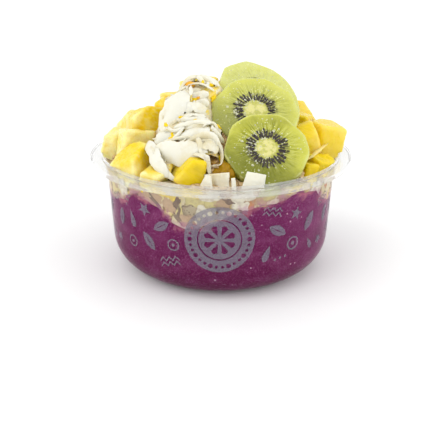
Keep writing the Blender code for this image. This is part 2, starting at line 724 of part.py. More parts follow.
def chip_solid(chip, grow=0.0):
    """A flat chip, wider at one end, standing on its foot."""
    turn = (chip.turn[0], chip.turn[1] - 90, chip.turn[2])
    halves = [0.5 * (chip.foot + (chip.top - chip.foot) * k / CHIP_STEPS) + grow
              for k in range(CHIP_STEPS + 1)]
    thickness = FLAKE_THICKNESS + 2 * grow
    return bent_strip(chip.place, turn, chip.height + 2 * grow, chip.curl, thickness, halves)


def coconut_core(grow):
    """The lens under the flakes, with lumps drawn over it."""
    bm = bmesh.new()
    bmesh.ops.create_icosphere(bm, subdivisions=2, radius=1.0)
    swing = Matrix.Rotation(math.radians(COCONUT_SWING), 4, "Z")
    slope = swing @ Matrix.Rotation(math.radians(COCONUT_SLOPE), 4, "X")
    for vert in bm.verts:
        spot = vert.co.copy()
        wave = math.sin(7 * spot.x + 2) * math.sin(6 * spot.y) + 0.8 * math.sin(9 * spot.y)
        lump = 1 + COCONUT_LUMP * wave
        radii = [radius * lump + grow for radius in COCONUT_RADII]
        vert.co = Vector([a * b for a, b in zip(spot, radii)])
    bm.transform(Matrix.Translation(COCONUT_CENTRE) @ slope)
    return bm


def spread_flakes():
    """Flakes scattered over the top and the back of the heap."""
    rng = random.Random(21)
    flakes = []
    for k in range(SPREAD_FLAKES):
        angle = 2 * math.pi * k / SPREAD_FLAKES
        across = SPREAD_ACROSS * math.cos(angle) + rng.uniform(-1, 1) * SPREAD_STRAY
        along = SPREAD_ALONG * math.sin(angle) + rng.uniform(-1, 1) * SPREAD_STRAY
        x = COCONUT_CENTRE[0] + across
        y = COCONUT_CENTRE[1] + along
        z = COCONUT_CENTRE[2] + SPREAD_LIFT + along * math.tan(math.radians(COCONUT_SLOPE))
        turn = (COCONUT_SLOPE + rng.uniform(-20, 20), rng.uniform(-30, 30), rng.uniform(0, 180))
        flakes.append(Flake((x, y, z), rng.uniform(12, 20), rng.uniform(5, 8),
                            rng.uniform(40, 110), turn))
    return flakes


def main():
    """Build the whole bowl."""
    for old in list(bpy.data.objects):
        bpy.data.objects.remove(old)
    materials = {name: make_material(name) for name in COLOURS}
    root = bpy.data.objects.new("pitaya_bowl", None)
    bpy.context.scene.collection.objects.link(root)

    sets = {name: new_set(name) for name in CUTTER_SETS}
    as_cutter(tub_keep_out(), "tub_keep_out", sets["rim_space"])
    as_cutter(blend_keep_out(), "blend_keep_out", sets["rim_space"])

    make_tub(materials["clear_plastic"], root)
    make_blend(materials["pitaya_blend"], root)
    for kiwi in KIWI_SLICES:
        bm = slice_solid(kiwi)
        finish(bm, kiwi.name, materials["kiwi"], kiwi.place, root)
        as_cutter(slice_solid(kiwi, grow=GAP), f"{kiwi.name}_space", sets["coconut_space"])
        as_cutter(slice_solid(kiwi, grow=GAP, forward=25), f"{kiwi.name}_front", sets["bed_space"])

    for k, chip in enumerate(COCONUT_CHIPS):
        piece = finish(chip_solid(chip), f"coconut_chip_{k + 1}", materials["coconut"],
                       chip.place, root)
        combine(piece, "DIFFERENCE", sets["coconut_space"])
        as_cutter(chip_solid(chip, grow=GAP), f"chip_space_{k}", sets["rim_space"])
        as_cutter(chip_solid(chip, grow=GAP), f"chip_bed_{k}", sets["bed_space"])

    back = back_fruit()
    fruit = {"pineapple": [*PINEAPPLE, *back["pineapple"]], "mango": [*MANGO, *back["mango"]],
             "fruit_flesh": WALL_CHUNKS}
    for k, bm in enumerate(make_fruit(fruit, materials, root, sets["rim_space"])):
        as_cutter(bm.copy(), f"fruit_space_{k}", sets["coconut_space"])
        as_cutter(bm, f"fruit_bed_{k}", sets["bed_space"])

    as_cutter(bed_solid(GAP), "bed_space", sets["bed_below"])
    for k, flake in enumerate((*COCONUT_FLAKES, *spread_flakes())):
        strip = as_cutter(flake_solid(flake), f"flake_{k}", sets["flakes"])
        combine(strip, "DIFFERENCE", sets["bed_below"])
    coconut = finish(coconut_core(0.0), "coconut_flakes", materials["coconut"], (0, 0, 0), root)
    combine(coconut, "UNION", sets["flakes"])
    combine(coconut, "DIFFERENCE", sets["coconut_space"])
    keep_largest(coconut.data)
    as_cutter(coconut_core(GAP), "coconut_space", sets["bed_space"])

    bed = finish(bed_solid(), "granola_bed", materials["granola"], (0, 0, 0), root)
    for k, bm in enumerate(granola_lumps()):
        as_cutter(bm, f"lump_{k}", sets["lumps"])
    combine(bed, "UNION", sets["lumps"])
    combine(bed, "DIFFERENCE", sets["bed_space"])
    keep_largest(bed.data)

    for collection in sets.values():
        for cutter in list(collection.objects):
            bpy.data.objects.remove(cutter)
        bpy.data.collections.remove(collection)


main()
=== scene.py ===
"""Pitaya bowl: the looks of the clear tub and its food, made over the packed frame.

Run it with Blender's --background --python, or from Blender's text editor. A panel in the 3D
view's sidebar then lists the pieces. Lengths are in metres. The bowl stands on Z = 0 round the
Z axis, and the side that the photograph shows faces -Y.
"""

import math
import random
from contextlib import contextmanager

import bpy
import numpy as np
from bpy.props import FloatProperty, FloatVectorProperty, IntProperty, PointerProperty
from mathutils import Euler, Matrix, Vector, noise
from mathutils.bvhtree import BVHTree
from mathutils.geometry import interpolate_bezier


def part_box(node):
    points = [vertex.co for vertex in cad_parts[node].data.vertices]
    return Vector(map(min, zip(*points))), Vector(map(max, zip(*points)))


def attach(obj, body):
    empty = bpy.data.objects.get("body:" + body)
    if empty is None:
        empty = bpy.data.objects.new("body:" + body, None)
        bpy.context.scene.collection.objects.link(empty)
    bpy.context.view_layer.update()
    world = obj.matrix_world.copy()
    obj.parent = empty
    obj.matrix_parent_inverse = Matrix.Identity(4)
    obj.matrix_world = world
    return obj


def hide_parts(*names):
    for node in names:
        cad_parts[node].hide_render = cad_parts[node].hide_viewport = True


bl_info = {
    "name": "Pitaya bowl",
    "version": (1, 0, 0),
    "blender": (4, 5, 0),
    "location": "3D View > Sidebar > Bowl",
    "description": "Builds a clear tub of pitaya blend heaped with fruit, granola and coconut",
    "category": "Object",
}

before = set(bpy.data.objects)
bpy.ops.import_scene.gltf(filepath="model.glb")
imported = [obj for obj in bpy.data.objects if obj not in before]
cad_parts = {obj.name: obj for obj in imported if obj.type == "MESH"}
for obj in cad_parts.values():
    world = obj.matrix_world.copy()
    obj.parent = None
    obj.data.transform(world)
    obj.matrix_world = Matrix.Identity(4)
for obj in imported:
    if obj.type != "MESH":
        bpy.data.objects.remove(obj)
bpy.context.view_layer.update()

MM = 0.001
TURN_STEPS = 192             # faces round the tub and the blend
ARC_STEPS = 14               # faces up their rounded foot
OVERHEAD = 0.2               # height from which things are dropped on the heap
OWN_SHADE = 0.999            # a copy's kind is a whole number, and its own shade is added to it

# How far food reaches into the clear wall, so that no air shows. Each kind of food takes its own
# share of it, and what takes more shows in front of the rest.
INTO_WALL = 0.2 * MM


# Settings ---------------------------------------------------------------------------------------

def metres(name, description, default):
    """A property for a length in metres."""
    return FloatProperty(name=name, description=description, default=default, precision=5,
                         unit="LENGTH", subtype="DISTANCE")


def colour(name, description, default):
    """A property for a linear colour."""
    return FloatVectorProperty(name=name, description=description, default=default, size=3,
                               min=0.0, max=1.0, subtype="COLOR")


def count(name, description, default):
    """A property for a number of things."""
    return IntProperty(name=name, description=description, default=default, min=1)


class TubSettings(bpy.types.PropertyGroup):
    """Sizes and colour of the clear tub."""

    wall: metres("Wall", "Thickness of the plastic", 0.001)
    foot_radius: metres("Foot radius", "Where the side wall's line would meet Z = 0", 0.0624)
    shoulder_radius: metres("Shoulder radius", "Radius of the wall under the flange", 0.066)
    shoulder_height: metres("Shoulder height", "Height at which the flange starts", 0.0648)
    corner_radius: metres("Corner radius", "Rounding between the wall and the base", 0.021)
    flange_top: metres("Flange top", "Height of the flat of the flange", 0.067)
    flange_slope: metres("Flange slope", "How far the flange's underside rises", 0.0012)
    skirt_bottom: metres("Skirt bottom", "Height of the lower edge of the flange's skirt", 0.0646)
    bead_radius: metres("Bead radius", "Outer radius of the lid bead", 0.0688)
    bead_top: metres("Bead top", "Height of the lid bead", 0.0688)
    rounding: metres("Rounding", "Rounding of the rim's edges", 0.0005)
    tint: colour("Tint", "Colour of the plastic", (0.985, 0.99, 0.985))


class BlendSettings(bpy.types.PropertyGroup):
    """Sizes and colours of the pitaya blend."""

    middle: metres("Middle", "Height of the blend in the middle of the tub", 0.052)
    waver: metres("Waver", "How far the upper edge strays from its level", 0.0009)
    # The blend darkens from its bright colour near the surface to its deep one low in the tub:
    # painted shade.
    deep: colour("Deep", "Colour low in the tub", (0.105, 0.008, 0.052))
    bright: colour("Bright", "Colour near the surface", (0.155, 0.016, 0.090))
    froth: colour("Froth", "Colour of the small bubbles", (0.40, 0.13, 0.29))


class GranolaSettings(bpy.types.PropertyGroup):
    """Sizes and colours of the granola."""

    grain: metres("Grain", "Size of the mesh that carries the lumps", 0.0009)
    crumbs: count("Crumbs", "Loose crumbs over the bed", 420)
    toasted: colour("Toasted", "Colour of the clusters", (0.38, 0.20, 0.05))
    oat: colour("Oat", "Colour of the flakes", (0.64, 0.44, 0.19))
    cream: colour("Cream", "Colour of the pale parts", (0.72, 0.60, 0.40))
    soaked: colour("Soaked", "Colour of the wet parts at the wall", (0.46, 0.31, 0.19))
    juice: colour("Juice", "Colour of the fruit juice at the wall", (0.62, 0.50, 0.20))
    raisin: colour("Raisin", "Colour of the dark bits", (0.06, 0.03, 0.022))


class FruitSettings(bpy.types.PropertyGroup):
    """Sizes and colours of the pineapple, the mango and the pieces behind the wall."""

    grain: metres("Grain", "Size of the mesh of a chunk", 0.0008)
    pineapple: colour("Pineapple", "Ripe pineapple flesh", (0.90, 0.64, 0.005))
    pineapple_pale: colour("Pale pineapple", "Watery pineapple flesh", (0.92, 0.83, 0.36))
    mango: colour("Mango", "Ripe mango flesh", (0.83, 0.62, 0.006))
    mango_pale: colour("Pale mango", "Cut face of the mango", (0.90, 0.70, 0.12))
    pale: colour("Pale fruit", "Pieces pressed against the wall", (0.60, 0.51, 0.32))


class KiwiSettings(bpy.types.PropertyGroup):
    """Sizes and colours of the kiwi slices."""

    grain: metres("Grain", "Size of the mesh of a slice", 0.0005)
    lines: count("Seed lines", "Lines of seeds round the core", 38)
    seed: metres("Seed", "Length of a seed", 0.0026)
    core: colour("Core", "The pale middle", (0.70, 0.66, 0.26))
    flesh: colour("Flesh", "The green flesh", (0.36, 0.37, 0.012))
    streak: colour("Streak", "Pale lines that run out from the core", (0.70, 0.71, 0.22))
    rim: colour("Rim", "The outer flesh", (0.60, 0.60, 0.09))
    seeds: colour("Seeds", "The seeds", (0.012, 0.010, 0.014))
    drops: count("Drops", "Drops of juice on a slice", 260)


class CoconutSettings(bpy.types.PropertyGroup):
    """Sizes and colours of the shaved coconut and the chips."""

    grain: metres("Grain", "Size of the mesh of the heap's core", 0.0012)
    chip_grain: metres("Chip grain", "Size of the mesh of a chip", 0.00035)
    thickness: metres("Thickness", "Thickness of a shaving", 0.00035)
    shreds: count("Shreds", "Small shreds round the large shavings", 120)
    white: colour("White", "The flesh", (0.85, 0.83, 0.70))
    cream: colour("Cream", "The creamy parts", (0.74, 0.66, 0.44))


class PrintSettings(bpy.types.PropertyGroup):
    """The printed badge and the small motifs round it."""

    badge_radius: metres("Badge radius", "Radius of the round badge", 0.0188)
    badge_height: metres("Badge height", "Height of the badge's middle", 0.038)
    film: metres("Film", "Thickness of the ink", 0.00006)
    ink: colour("Ink", "Colour of the ink", (0.27, 0.25, 0.32))


class StageSettings(bpy.types.PropertyGroup):
    """The camera of the photograph, the floor and the light."""

    distance: metres("Distance", "How far the camera stands from the bowl's middle", 0.43056611)
    height: metres("Height", "Height of the camera", 0.19781599)
    tilt: FloatProperty(name="Tilt", description="Angle of the camera from straight down",
                        default=math.radians(68.52313), subtype="ANGLE")
    pan: FloatProperty(name="Pan", description="How far left the camera looks",
                       default=math.radians(0.6593), subtype="ANGLE")
    lens: FloatProperty(name="Lens", description="Focal length in millimetres", default=65.547)
    sky: FloatProperty(name="Sky", description="Strength of the light from all round", default=1.0)
    key: FloatProperty(name="Key", description="Strength of the soft light from the left",
                       default=0.75)
    fill: FloatProperty(name="Fill", description="Strength of the soft light from the right",
                        default=0.5)
    floor: colour("Floor", "Colour of the floor", (0.97, 0.97, 0.97))


# Modelling helpers ------------------------------------------------------------------------------

def select_only(piece):
    """Make a piece the only selected object, and the active one."""
    bpy.ops.object.select_all(action="DESELECT")
    piece.select_set(True)
    bpy.context.view_layer.objects.active = piece


@contextmanager
def editing(piece):
    """Edit mode on one piece, with all of it selected."""
    select_only(piece)
    bpy.ops.object.mode_set(mode="EDIT")
    bpy.ops.mesh.select_all(action="SELECT")
    yield
    bpy.ops.object.mode_set(mode="OBJECT")


def added(add, **settings):
    """Add an object by its operator, with nothing else selected, and return it."""
    bpy.ops.object.select_all(action="DESELECT")
    add(**settings)
    return bpy.context.object


def new_piece(name, verts, edges=(), faces=()):
    """An object at the origin with a mesh of its own."""
    mesh = bpy.data.meshes.new(name)
    mesh.from_pydata(verts, edges, faces)
    piece = bpy.data.objects.new(name, mesh)
    bpy.context.scene.collection.objects.link(piece)
    return piece


def copy_of(node, name):
    """A merged copy of a CAD node's mesh."""
    piece = bpy.data.objects.new(name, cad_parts[node].data.copy())
    bpy.context.scene.collection.objects.link(piece)
    piece.data.name = name
    piece.data.materials.clear()
    with editing(piece):
        bpy.ops.mesh.remove_doubles(threshold=0.01 * MM)
    return piece


def turned(name, outline):
    """A solid turned round the Z axis from its half outline, which starts and ends on the axis."""
    edges = [(k, k + 1) for k in range(len(outline) - 1)]
    piece = new_piece(name, [(radius, 0.0, height) for radius, height in outline], edges)
    with editing(piece):
        bpy.ops.mesh.spin(steps=TURN_STEPS, angle=2 * math.pi, center=(0, 0, 0), axis=(0, 0, 1))
        bpy.ops.mesh.select_all(action="SELECT")
        bpy.ops.mesh.remove_doubles(threshold=0.005 * MM)
        bpy.ops.mesh.normals_make_consistent(inside=False)
    return piece


def points_of(piece):
    """The places of a piece's verts, one row each."""
    places = np.empty(len(piece.data.vertices) * 3)
    piece.data.vertices.foreach_get("co", places)
    return places.reshape(-1, 3)


def set_points(piece, places):
    """Move a piece's verts to new places."""
    piece.data.vertices.foreach_set("co", np.ascontiguousarray(places).ravel())
    piece.data.update()


def apply_modifier(piece, kind, **settings):
    """Add a modifier to a piece and apply it."""
    modifier = piece.modifiers.new(kind.title(), kind)
    for name, value in settings.items():
        setattr(modifier, name, value)
    select_only(piece)
    bpy.ops.object.modifier_apply(modifier=modifier.name)


def push_out(piece, size, strength):
    """Raise and lower a surface by soft lumps of a size."""
    texture = bpy.data.textures.new("lumps", "CLOUDS")
    texture.noise_scale = size
    apply_modifier(piece, "DISPLACE", texture=texture, texture_coords="LOCAL",
                   strength=strength, mid_level=0.5)
    bpy.data.textures.remove(texture)


def remesh(piece, grain, rounds=2):
    """Give a piece an even mesh whose faces are as large as the grain, smoothed in some rounds."""
    select_only(piece)
    piece.data.remesh_voxel_size = grain
    bpy.ops.object.voxel_remesh()
    apply_modifier(piece, "SMOOTH", factor=0.5, iterations=rounds)


def smooth_shade(piece):
    """Shade a piece smooth."""
    select_only(piece)
    bpy.ops.object.shade_smooth()


def join(pieces, name):
    """Join pieces into one of that name."""
    select_only(pieces[0])
    for piece in pieces:
        piece.select_set(True)
    bpy.ops.object.join()
    pieces[0].name = name
    pieces[0].data.name = name
    return pieces[0]


def discard(pieces):
    """Remove pieces that were only models for others."""
    for piece in pieces:
        bpy.data.meshes.remove(piece.data)


def strew(name, models, places):
    """One piece of many copies of small models, each given as its model's number and a matrix."""
    verts, faces, shades = [], [], []
    shapes = [([vert.co.copy() for vert in model.data.vertices],
               [tuple(face.vertices) for face in model.data.polygons]) for model in models]
    luck = random.Random(name)
    for pick, matrix in places:
        start = len(verts)
        shape, sides = shapes[pick]
        verts.extend(matrix @ point for point in shape)
        faces.extend(tuple(start + k for k in side) for side in sides)
        shades.extend([pick + OWN_SHADE * luck.random()] * len(shape))
    piece = new_piece(name, verts, faces=faces)
    store(piece, "pick", shades)
    smooth_shade(piece)
    discard(models)
    return piece


def store(piece, name, values):
    """Keep a number or a vector for each vert, for a material to read."""
    values = np.asarray(values, dtype=float)
    if values.ndim == 2:
        attribute = piece.data.attributes.new(name, "FLOAT_VECTOR", "POINT")
        attribute.data.foreach_set("vector", values.ravel())
    else:
        attribute = piece.data.attributes.new(name, "FLOAT", "POINT")
        attribute.data.foreach_set("value", values)


def dress(piece, material, nodes=()):
    """Give a piece its material and its place on the frame, and hide the CAD nodes it stands for.
    """
    piece.data.materials.clear()
    piece.data.materials.append(material)
    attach(piece, "root")
    if nodes:
        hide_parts(*nodes)


def wall_radius(height, inset=0.0):
    """Radius of the surface that lies inset inside the tub's outer face, at a height."""
    tub = bpy.context.scene.bowl_tub
    slope = (tub.shoulder_radius - tub.foot_radius) / tub.shoulder_height
    reach = math.hypot(1, slope)
    arc = tub.corner_radius - inset
    corner = tub.foot_radius + tub.corner_radius * (slope - reach)
    depth = tub.corner_radius - np.maximum(height, inset)
    curved = corner + np.sqrt(np.maximum(arc ** 2 - depth ** 2, 0.0))
    straight = corner + arc * reach + slope * (height - tub.corner_radius)
    return np.where(height >= tub.corner_radius - arc * slope / reach, straight, curved)


def press_to_wall(piece, into, margin):
    """Flatten what lies near the tub's wall into its plastic; returns which verts those are."""
    tub = bpy.context.scene.bowl_tub
    places = points_of(piece)
    out = np.hypot(places[:, 0], places[:, 1])
    wall = wall_radius(np.minimum(places[:, 2], tub.shoulder_height), tub.wall - into)
    near = (out > wall - margin) & (places[:, 2] < tub.shoulder_height + 0.5 * MM)
    places[near, :2] *= (wall / np.maximum(out, MM))[near, None]
    set_points(piece, places)
    return near


def tree_of(nodes):
    """A search tree over the faces of some CAD nodes."""
    return tree_over([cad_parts[node].data for node in nodes])


def tree_over(meshes):
    """A search tree over the faces of some meshes."""
    verts, faces = [], []
    for mesh in meshes:
        start = len(verts)
        verts.extend(vert.co.copy() for vert in mesh.vertices)
        faces.extend([start + k for k in face.vertices] for face in mesh.polygons)
    return BVHTree.FromPolygons(verts, faces)


def nodes_named(start):
    """The CAD nodes whose names start so, in order."""
    return sorted(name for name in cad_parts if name.startswith(start))


# Shader helpers ---------------------------------------------------------------------------------

class Wire:
    """An output socket; arithmetic on it adds Math nodes to its tree."""

    def __init__(self, tree, socket):
        self.tree = tree
        self.socket = socket

    def calculate(self, operation, *values):
        """A Math node on some values."""
        node = self.tree.nodes.new("ShaderNodeMath")
        node.operation = operation
        for slot, value in zip(node.inputs, values):
            plug(self.tree, value, slot)
        return Wire(self.tree, node.outputs[0])

    def __add__(self, other):
        return self.calculate("ADD", self, other)

    def __radd__(self, other):
        return self.calculate("ADD", other, self)

    def __sub__(self, other):
        return self.calculate("SUBTRACT", self, other)

    def __rsub__(self, other):
        return self.calculate("SUBTRACT", other, self)

    def __mul__(self, other):
        return self.calculate("MULTIPLY", self, other)

    def __rmul__(self, other):
        return self.calculate("MULTIPLY", other, self)

    def __gt__(self, other):
        return self.calculate("GREATER_THAN", self, other)

    def __lt__(self, other):
        return self.calculate("LESS_THAN", self, other)


def plug(tree, value, slot):
    """Link a wire to a socket, or set the socket's own value."""
    if isinstance(value, Wire):
        tree.links.new(value.socket, slot)
    elif slot.type == "RGBA" and len(value) == 3:
        slot.default_value = (*value, 1.0)
    else:
        slot.default_value = value


class Finish:
    """One material: a Principled shader and the nodes that feed it."""

    def __init__(self, name, **constants):
        self.material = bpy.data.materials.new(name)
        self.material.use_nodes = True
        self.tree = self.material.node_tree
        self.shader = self.tree.nodes["Principled BSDF"]
        for socket, value in constants.items():
            self.feed(socket.replace("_", " "), value)

    def feed(self, socket, value):
        """Set or link one socket of the shader."""
        plug(self.tree, value, self.shader.inputs[socket])

    def node(self, kind, settings, sockets, output=0):
        """Add a node: its settings, then its sockets' values or links; returns one output."""
        node = self.tree.nodes.new(kind)
        for name, value in settings.items():
            setattr(node, name, value)
        for name, value in sockets.items():
            plug(self.tree, value, node.inputs[name])
        return Wire(self.tree, node.outputs[output])

    def place(self):
        """The point on the surface, in the bowl's own metres."""
        return self.node("ShaderNodeTexCoord", {}, {}, "Object")

    def kept(self, name, output="Fac"):
        """Something kept on the mesh."""
        return self.node("ShaderNodeAttribute", {"attribute_name": name}, {}, output)

    def part(self, vector, axis):
        """One part of a vector."""
        return self.node("ShaderNodeSeparateXYZ", {}, {"Vector": vector}, axis)

    def stretch(self, vector, factors):
        """A vector with each part multiplied by its own factor."""
        return self.node("ShaderNodeVectorMath", {"operation": "MULTIPLY"},
                         {0: vector, 1: factors})

    def clouds(self, vector, scale, detail=3.0, roughness=0.55):
        """Soft noise round one half."""
        return self.node("ShaderNodeTexNoise", {}, {
            "Vector": vector, "Scale": scale, "Detail": detail, "Roughness": roughness})

    def cells(self, vector, scale, output="Distance", feature="F1"):
        """Scattered cells: the distance to the nearest, its edge, or its colour."""
        return self.node("ShaderNodeTexVoronoi", {"feature": feature},
                         {"Vector": vector, "Scale": scale}, output)

    def span(self, value, low, high, start=0.0, end=1.0):
        """A value eased from start to end as it goes from low to high."""
        return self.node("ShaderNodeMapRange", {"interpolation_type": "SMOOTHSTEP"}, {
            "Value": value, "From Min": low, "From Max": high, "To Min": start, "To Max": end})

    def mix(self, share, first, second):
        """Two colours mixed."""
        return self.node("ShaderNodeMix", {"data_type": "RGBA"}, {0: share, 6: first, 7: second}, 2)

    def over(self, body, colour, value, low, high, start=0.0, end=1.0):
        """A colour laid over a body, from start to end thick as a value goes low to high."""
        return self.mix(self.span(value, low, high, start, end), body, colour)

    def relief(self, height, distance, strength):
        """Feed the shader's normal from a height."""
        self.feed("Normal", self.node("ShaderNodeBump", {}, {
            "Height": height, "Distance": distance, "Strength": strength}))

    def let_lamps_through(self, colour):
        """Let the lamps light what lies behind, in a colour."""
        lamps = self.node("ShaderNodeLightPath", {}, {}, "Is Shadow Ray")
        through = self.node("ShaderNodeBsdfTransparent", {}, {"Color": colour})
        shader = Wire(self.tree, self.shader.outputs[0])
        both = self.node("ShaderNodeMixShader", {}, {0: lamps, 1: shader, 2: through})
        plug(self.tree, both, self.tree.nodes["Material Output"].inputs["Surface"])


# Tub --------------------------------------------------------------------------------------------

def arc_heights(low, radius):
    """Heights that step evenly round the corner arc, from the base up to its top."""
    steps = [0.5 * math.pi * k / ARC_STEPS for k in range(ARC_STEPS + 1)]
    return [low + radius * (1 - math.cos(step)) for step in steps]


def rounded(corners, radius, steps=3):
    """A path with its inner corners rounded off."""
    path = [corners[0]]
    for before, corner, after in zip(corners, corners[1:], corners[2:]):
        here = Vector(corner)
        back = Vector(before) - here
        ahead = Vector(after) - here
        reach = min(radius, 0.45 * back.length, 0.45 * ahead.length)
        start = here + back.normalized() * reach
        end = here + ahead.normalized() * reach
        for k in range(steps + 1):
            share = k / steps
            path.append(tuple(start.lerp(here, share).lerp(here.lerp(end, share), share)))
    path.append(corners[-1])
    return path


def tub_outline(tub):
    """The tub's half section: out along the base, over the rim and back along the inside."""
    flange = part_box("bowl")[1].x
    skirt = flange - tub.wall
    bead = tub.bead_radius - tub.wall
    slant = 0.7 * MM
    outer = [(float(wall_radius(z)), z) for z in arc_heights(0.0, tub.corner_radius)]
    inner_arc = arc_heights(tub.wall, tub.corner_radius - tub.wall)
    inner = [(float(wall_radius(z, tub.wall)), z) for z in inner_arc]
    rim = rounded([
        outer[-1],
        (float(wall_radius(tub.shoulder_height)), tub.shoulder_height),
        (tub.shoulder_radius + slant, tub.shoulder_height + slant),
        (skirt - slant, tub.shoulder_height + tub.flange_slope),
        (skirt, tub.skirt_bottom),
        (flange, tub.skirt_bottom),
        (flange, tub.flange_top),
        (tub.bead_radius, tub.flange_top),
        (tub.bead_radius, tub.bead_top),
        (bead, tub.bead_top),
        (bead, tub.flange_top - 0.2 * MM),
        (float(wall_radius(tub.shoulder_height, tub.wall)), tub.shoulder_height),
        inner[-1],
    ], tub.rounding)
    return [(0.0, 0.0), *outer, *rim[1:-1], *reversed(inner), (0.0, tub.wall)]


def clear_plastic(tub, name, shade, haze, **settings):
    """Clear or milky plastic that lets the lamps light what lies behind it."""
    plastic = Finish(name, Base_Color=tuple(shade * part for part in tub.tint), **settings)
    plastic.feed("Roughness", haze + 0.03 * plastic.clouds(plastic.place(), 60))
    plastic.let_lamps_through(tub.tint)
    return plastic.material


class MakeTub(bpy.types.Operator):
    """Turn the clear tub with its rounded foot, flange and lid bead"""

    bl_idname = "bowl.make_tub"
    bl_label = "Tub"

    def execute(self, context):
        tub = context.scene.bowl_tub
        piece = turned("tub", tub_outline(tub))
        select_only(piece)
        bpy.ops.object.shade_smooth_by_angle(angle=math.radians(40))
        wall = clear_plastic(tub, "clear_wall", shade=1.0, haze=0.01, IOR=1.10,
                             Transmission_Weight=1.0)
        rim = clear_plastic(tub, "milky_rim", shade=0.90, haze=0.04, IOR=1.06,
                            Transmission_Weight=0.83, Coat_Weight=0.8, Coat_Roughness=0.03)
        dress(piece, wall, ["bowl"])
        piece.data.materials.append(rim)
        for face in piece.data.polygons:
            face.material_index = int(face.center.z > tub.shoulder_height)
        return {"FINISHED"}


# Blend ------------------------------------------------------------------------------------------

def blend_levels():
    """The blend's level against the wall: angles from the front, and the height at each."""
    tub = bpy.context.scene.bowl_tub
    lowest = 35 * MM
    levels = {}
    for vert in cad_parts["pitaya_blend"].data.vertices:
        x, y, z = vert.co
        if math.hypot(x, y) > wall_radius(z, tub.wall) - MM and z > lowest:
            key = round(math.degrees(math.atan2(x, -y)), 1)
            levels[key] = max(levels.get(key, 0.0), z)
    angles = sorted(levels)
    return np.radians(angles), np.array([levels[key] for key in angles])


def level_at(places):
    """The blend's wavering level at the angle of each place."""
    angle = np.arctan2(places[:, 0], -places[:, 1])
    angles, levels = blend_levels()
    waver = bpy.context.scene.bowl_blend.waver
    ripples = np.sin(23 * angle + 1.3 * np.sin(7 * angle)) + 0.6 * np.sin(61 * angle + 2.0)
    return np.interp(angle, angles, levels, period=2 * math.pi) + 0.5 * waver * ripples


def over_blend(places):
    """How far each place lies over the blend's level, in millimetres."""
    return (places[:, 2] - level_at(places)) / MM


def blend_finish(blend):
    """Thick purple fruit blend with bubbles, dark specks of seed and a stirred upper edge."""
    fruit = Finish("pitaya_blend", Roughness=0.6, Specular_IOR_Level=0.08,
                   Subsurface_Weight=0.1, Subsurface_Radius=(1.0, 0.3, 0.7),
                   Subsurface_Scale=1.5 * MM)
    place = fruit.place()
    height = fruit.part(place, "Z")
    # Painted shade: darker low in the tub, from the bright colour near the surface to the deep one.
    rising = height + 0.010 * fruit.clouds(place, 45, 4.0)
    body = fruit.mix(fruit.span(rising, 0.008, 0.062), blend.deep, blend.bright)
    swirl = fruit.span(fruit.clouds(fruit.stretch(place, (1, 1, 2.2)), 70, 5.0), 0.44, 0.68)
    body = fruit.mix(0.16 * swirl, body, blend.froth)
    froth = fruit.span(fruit.cells(place, 520), 0.10, 0.24, 1.0, 0.0)
    patches = fruit.span(fruit.clouds(place, 160, 3.0), 0.44, 0.60)
    body = fruit.mix(0.7 * (froth * patches), body, blend.froth)
    bubbles = fruit.span(fruit.cells(place, 230), 0.08, 0.13, 1.0, 0.0)
    clusters = fruit.span(fruit.clouds(place, 55, 2.0), 0.47, 0.55)
    body = fruit.mix(0.9 * (bubbles * clusters), body, (0.62, 0.36, 0.50))
    seeds = fruit.span(fruit.cells(place, 330), 0.07, 0.13, 1.0, 0.0)
    sparse = fruit.span(fruit.clouds(place, 210, 1.0), 0.56, 0.6)
    body = fruit.mix(0.8 * (seeds * sparse), body, (0.03, 0.006, 0.02))
    fine = fruit.clouds(place, 1100, 2.0)
    body = fruit.over(body, blend.froth, fine, 0.54, 0.66, 0.0, 0.30)
    body = fruit.over(body, blend.deep, fine, 0.36, 0.48, 0.45, 0.0)
    stirred = fruit.kept("below") + 22.0 * (fruit.clouds(place, 130, 4.0, 0.6) - 0.5)
    stain = fruit.mix(fruit.clouds(place, 420, 2.0), (0.34, 0.04, 0.13), (0.50, 0.26, 0.25))
    body = fruit.over(body, stain, stirred, -1.5, 3.0, 0.8, 0.0)
    # Painted light: the blend is lighter towards both sides, most on the right, mixed towards the
    # froth colour.
    across = fruit.part(place, "X")
    right = fruit.span(across, 0.020, 0.070, 0.0, 0.16)
    left = fruit.span(across, -0.070, -0.050, 0.10, 0.0)
    body = fruit.mix(right + left, body, blend.froth)
    fruit.feed("Base Color", body)
    fruit.relief(fruit.clouds(place, 500, 3.0) + 0.5 * froth, 0.15 * MM, 0.5)
    return fruit.material


def fill_tub(blend, tub):
    """The blend's solid, a little into the plastic, drawn up to its uneven level at the wall."""
    inset = tub.wall - 1.3 * INTO_WALL
    rows, rings = 25, 12
    top = blend.middle
    heights = arc_heights(inset, tub.corner_radius - inset)
    heights += list(np.linspace(heights[-1], top, rows + 1)[1:])
    side = [(float(wall_radius(z, inset)), z) for z in heights]
    surface = [(side[-1][0] * (1 - k / rings), top) for k in range(1, rings + 1)]
    piece = turned("blend", [(0.0, inset), *side, *surface])
    places = points_of(piece)
    out = np.hypot(places[:, 0], places[:, 1])
    edge = wall_radius(places[:, 2], inset)
    on_wall = out > edge - 0.05 * MM
    share = np.where(on_wall, 1.0, (out / edge) ** 2)
    level = top + share * (level_at(places) - top)
    start = tub.corner_radius
    rise = np.clip((places[:, 2] - start) / (top - start), 0.0, 1.0)
    places[:, 2] = np.where(rise > 0, start + rise * (level - start), places[:, 2])
    wall = wall_radius(places[:, 2], inset) / np.maximum(out, MM)
    places[:, :2] *= np.where(on_wall & (rise > 0), wall, 1.0)[:, None]
    set_points(piece, places)
    store(piece, "below", -over_blend(places))
    smooth_shade(piece)
    return piece


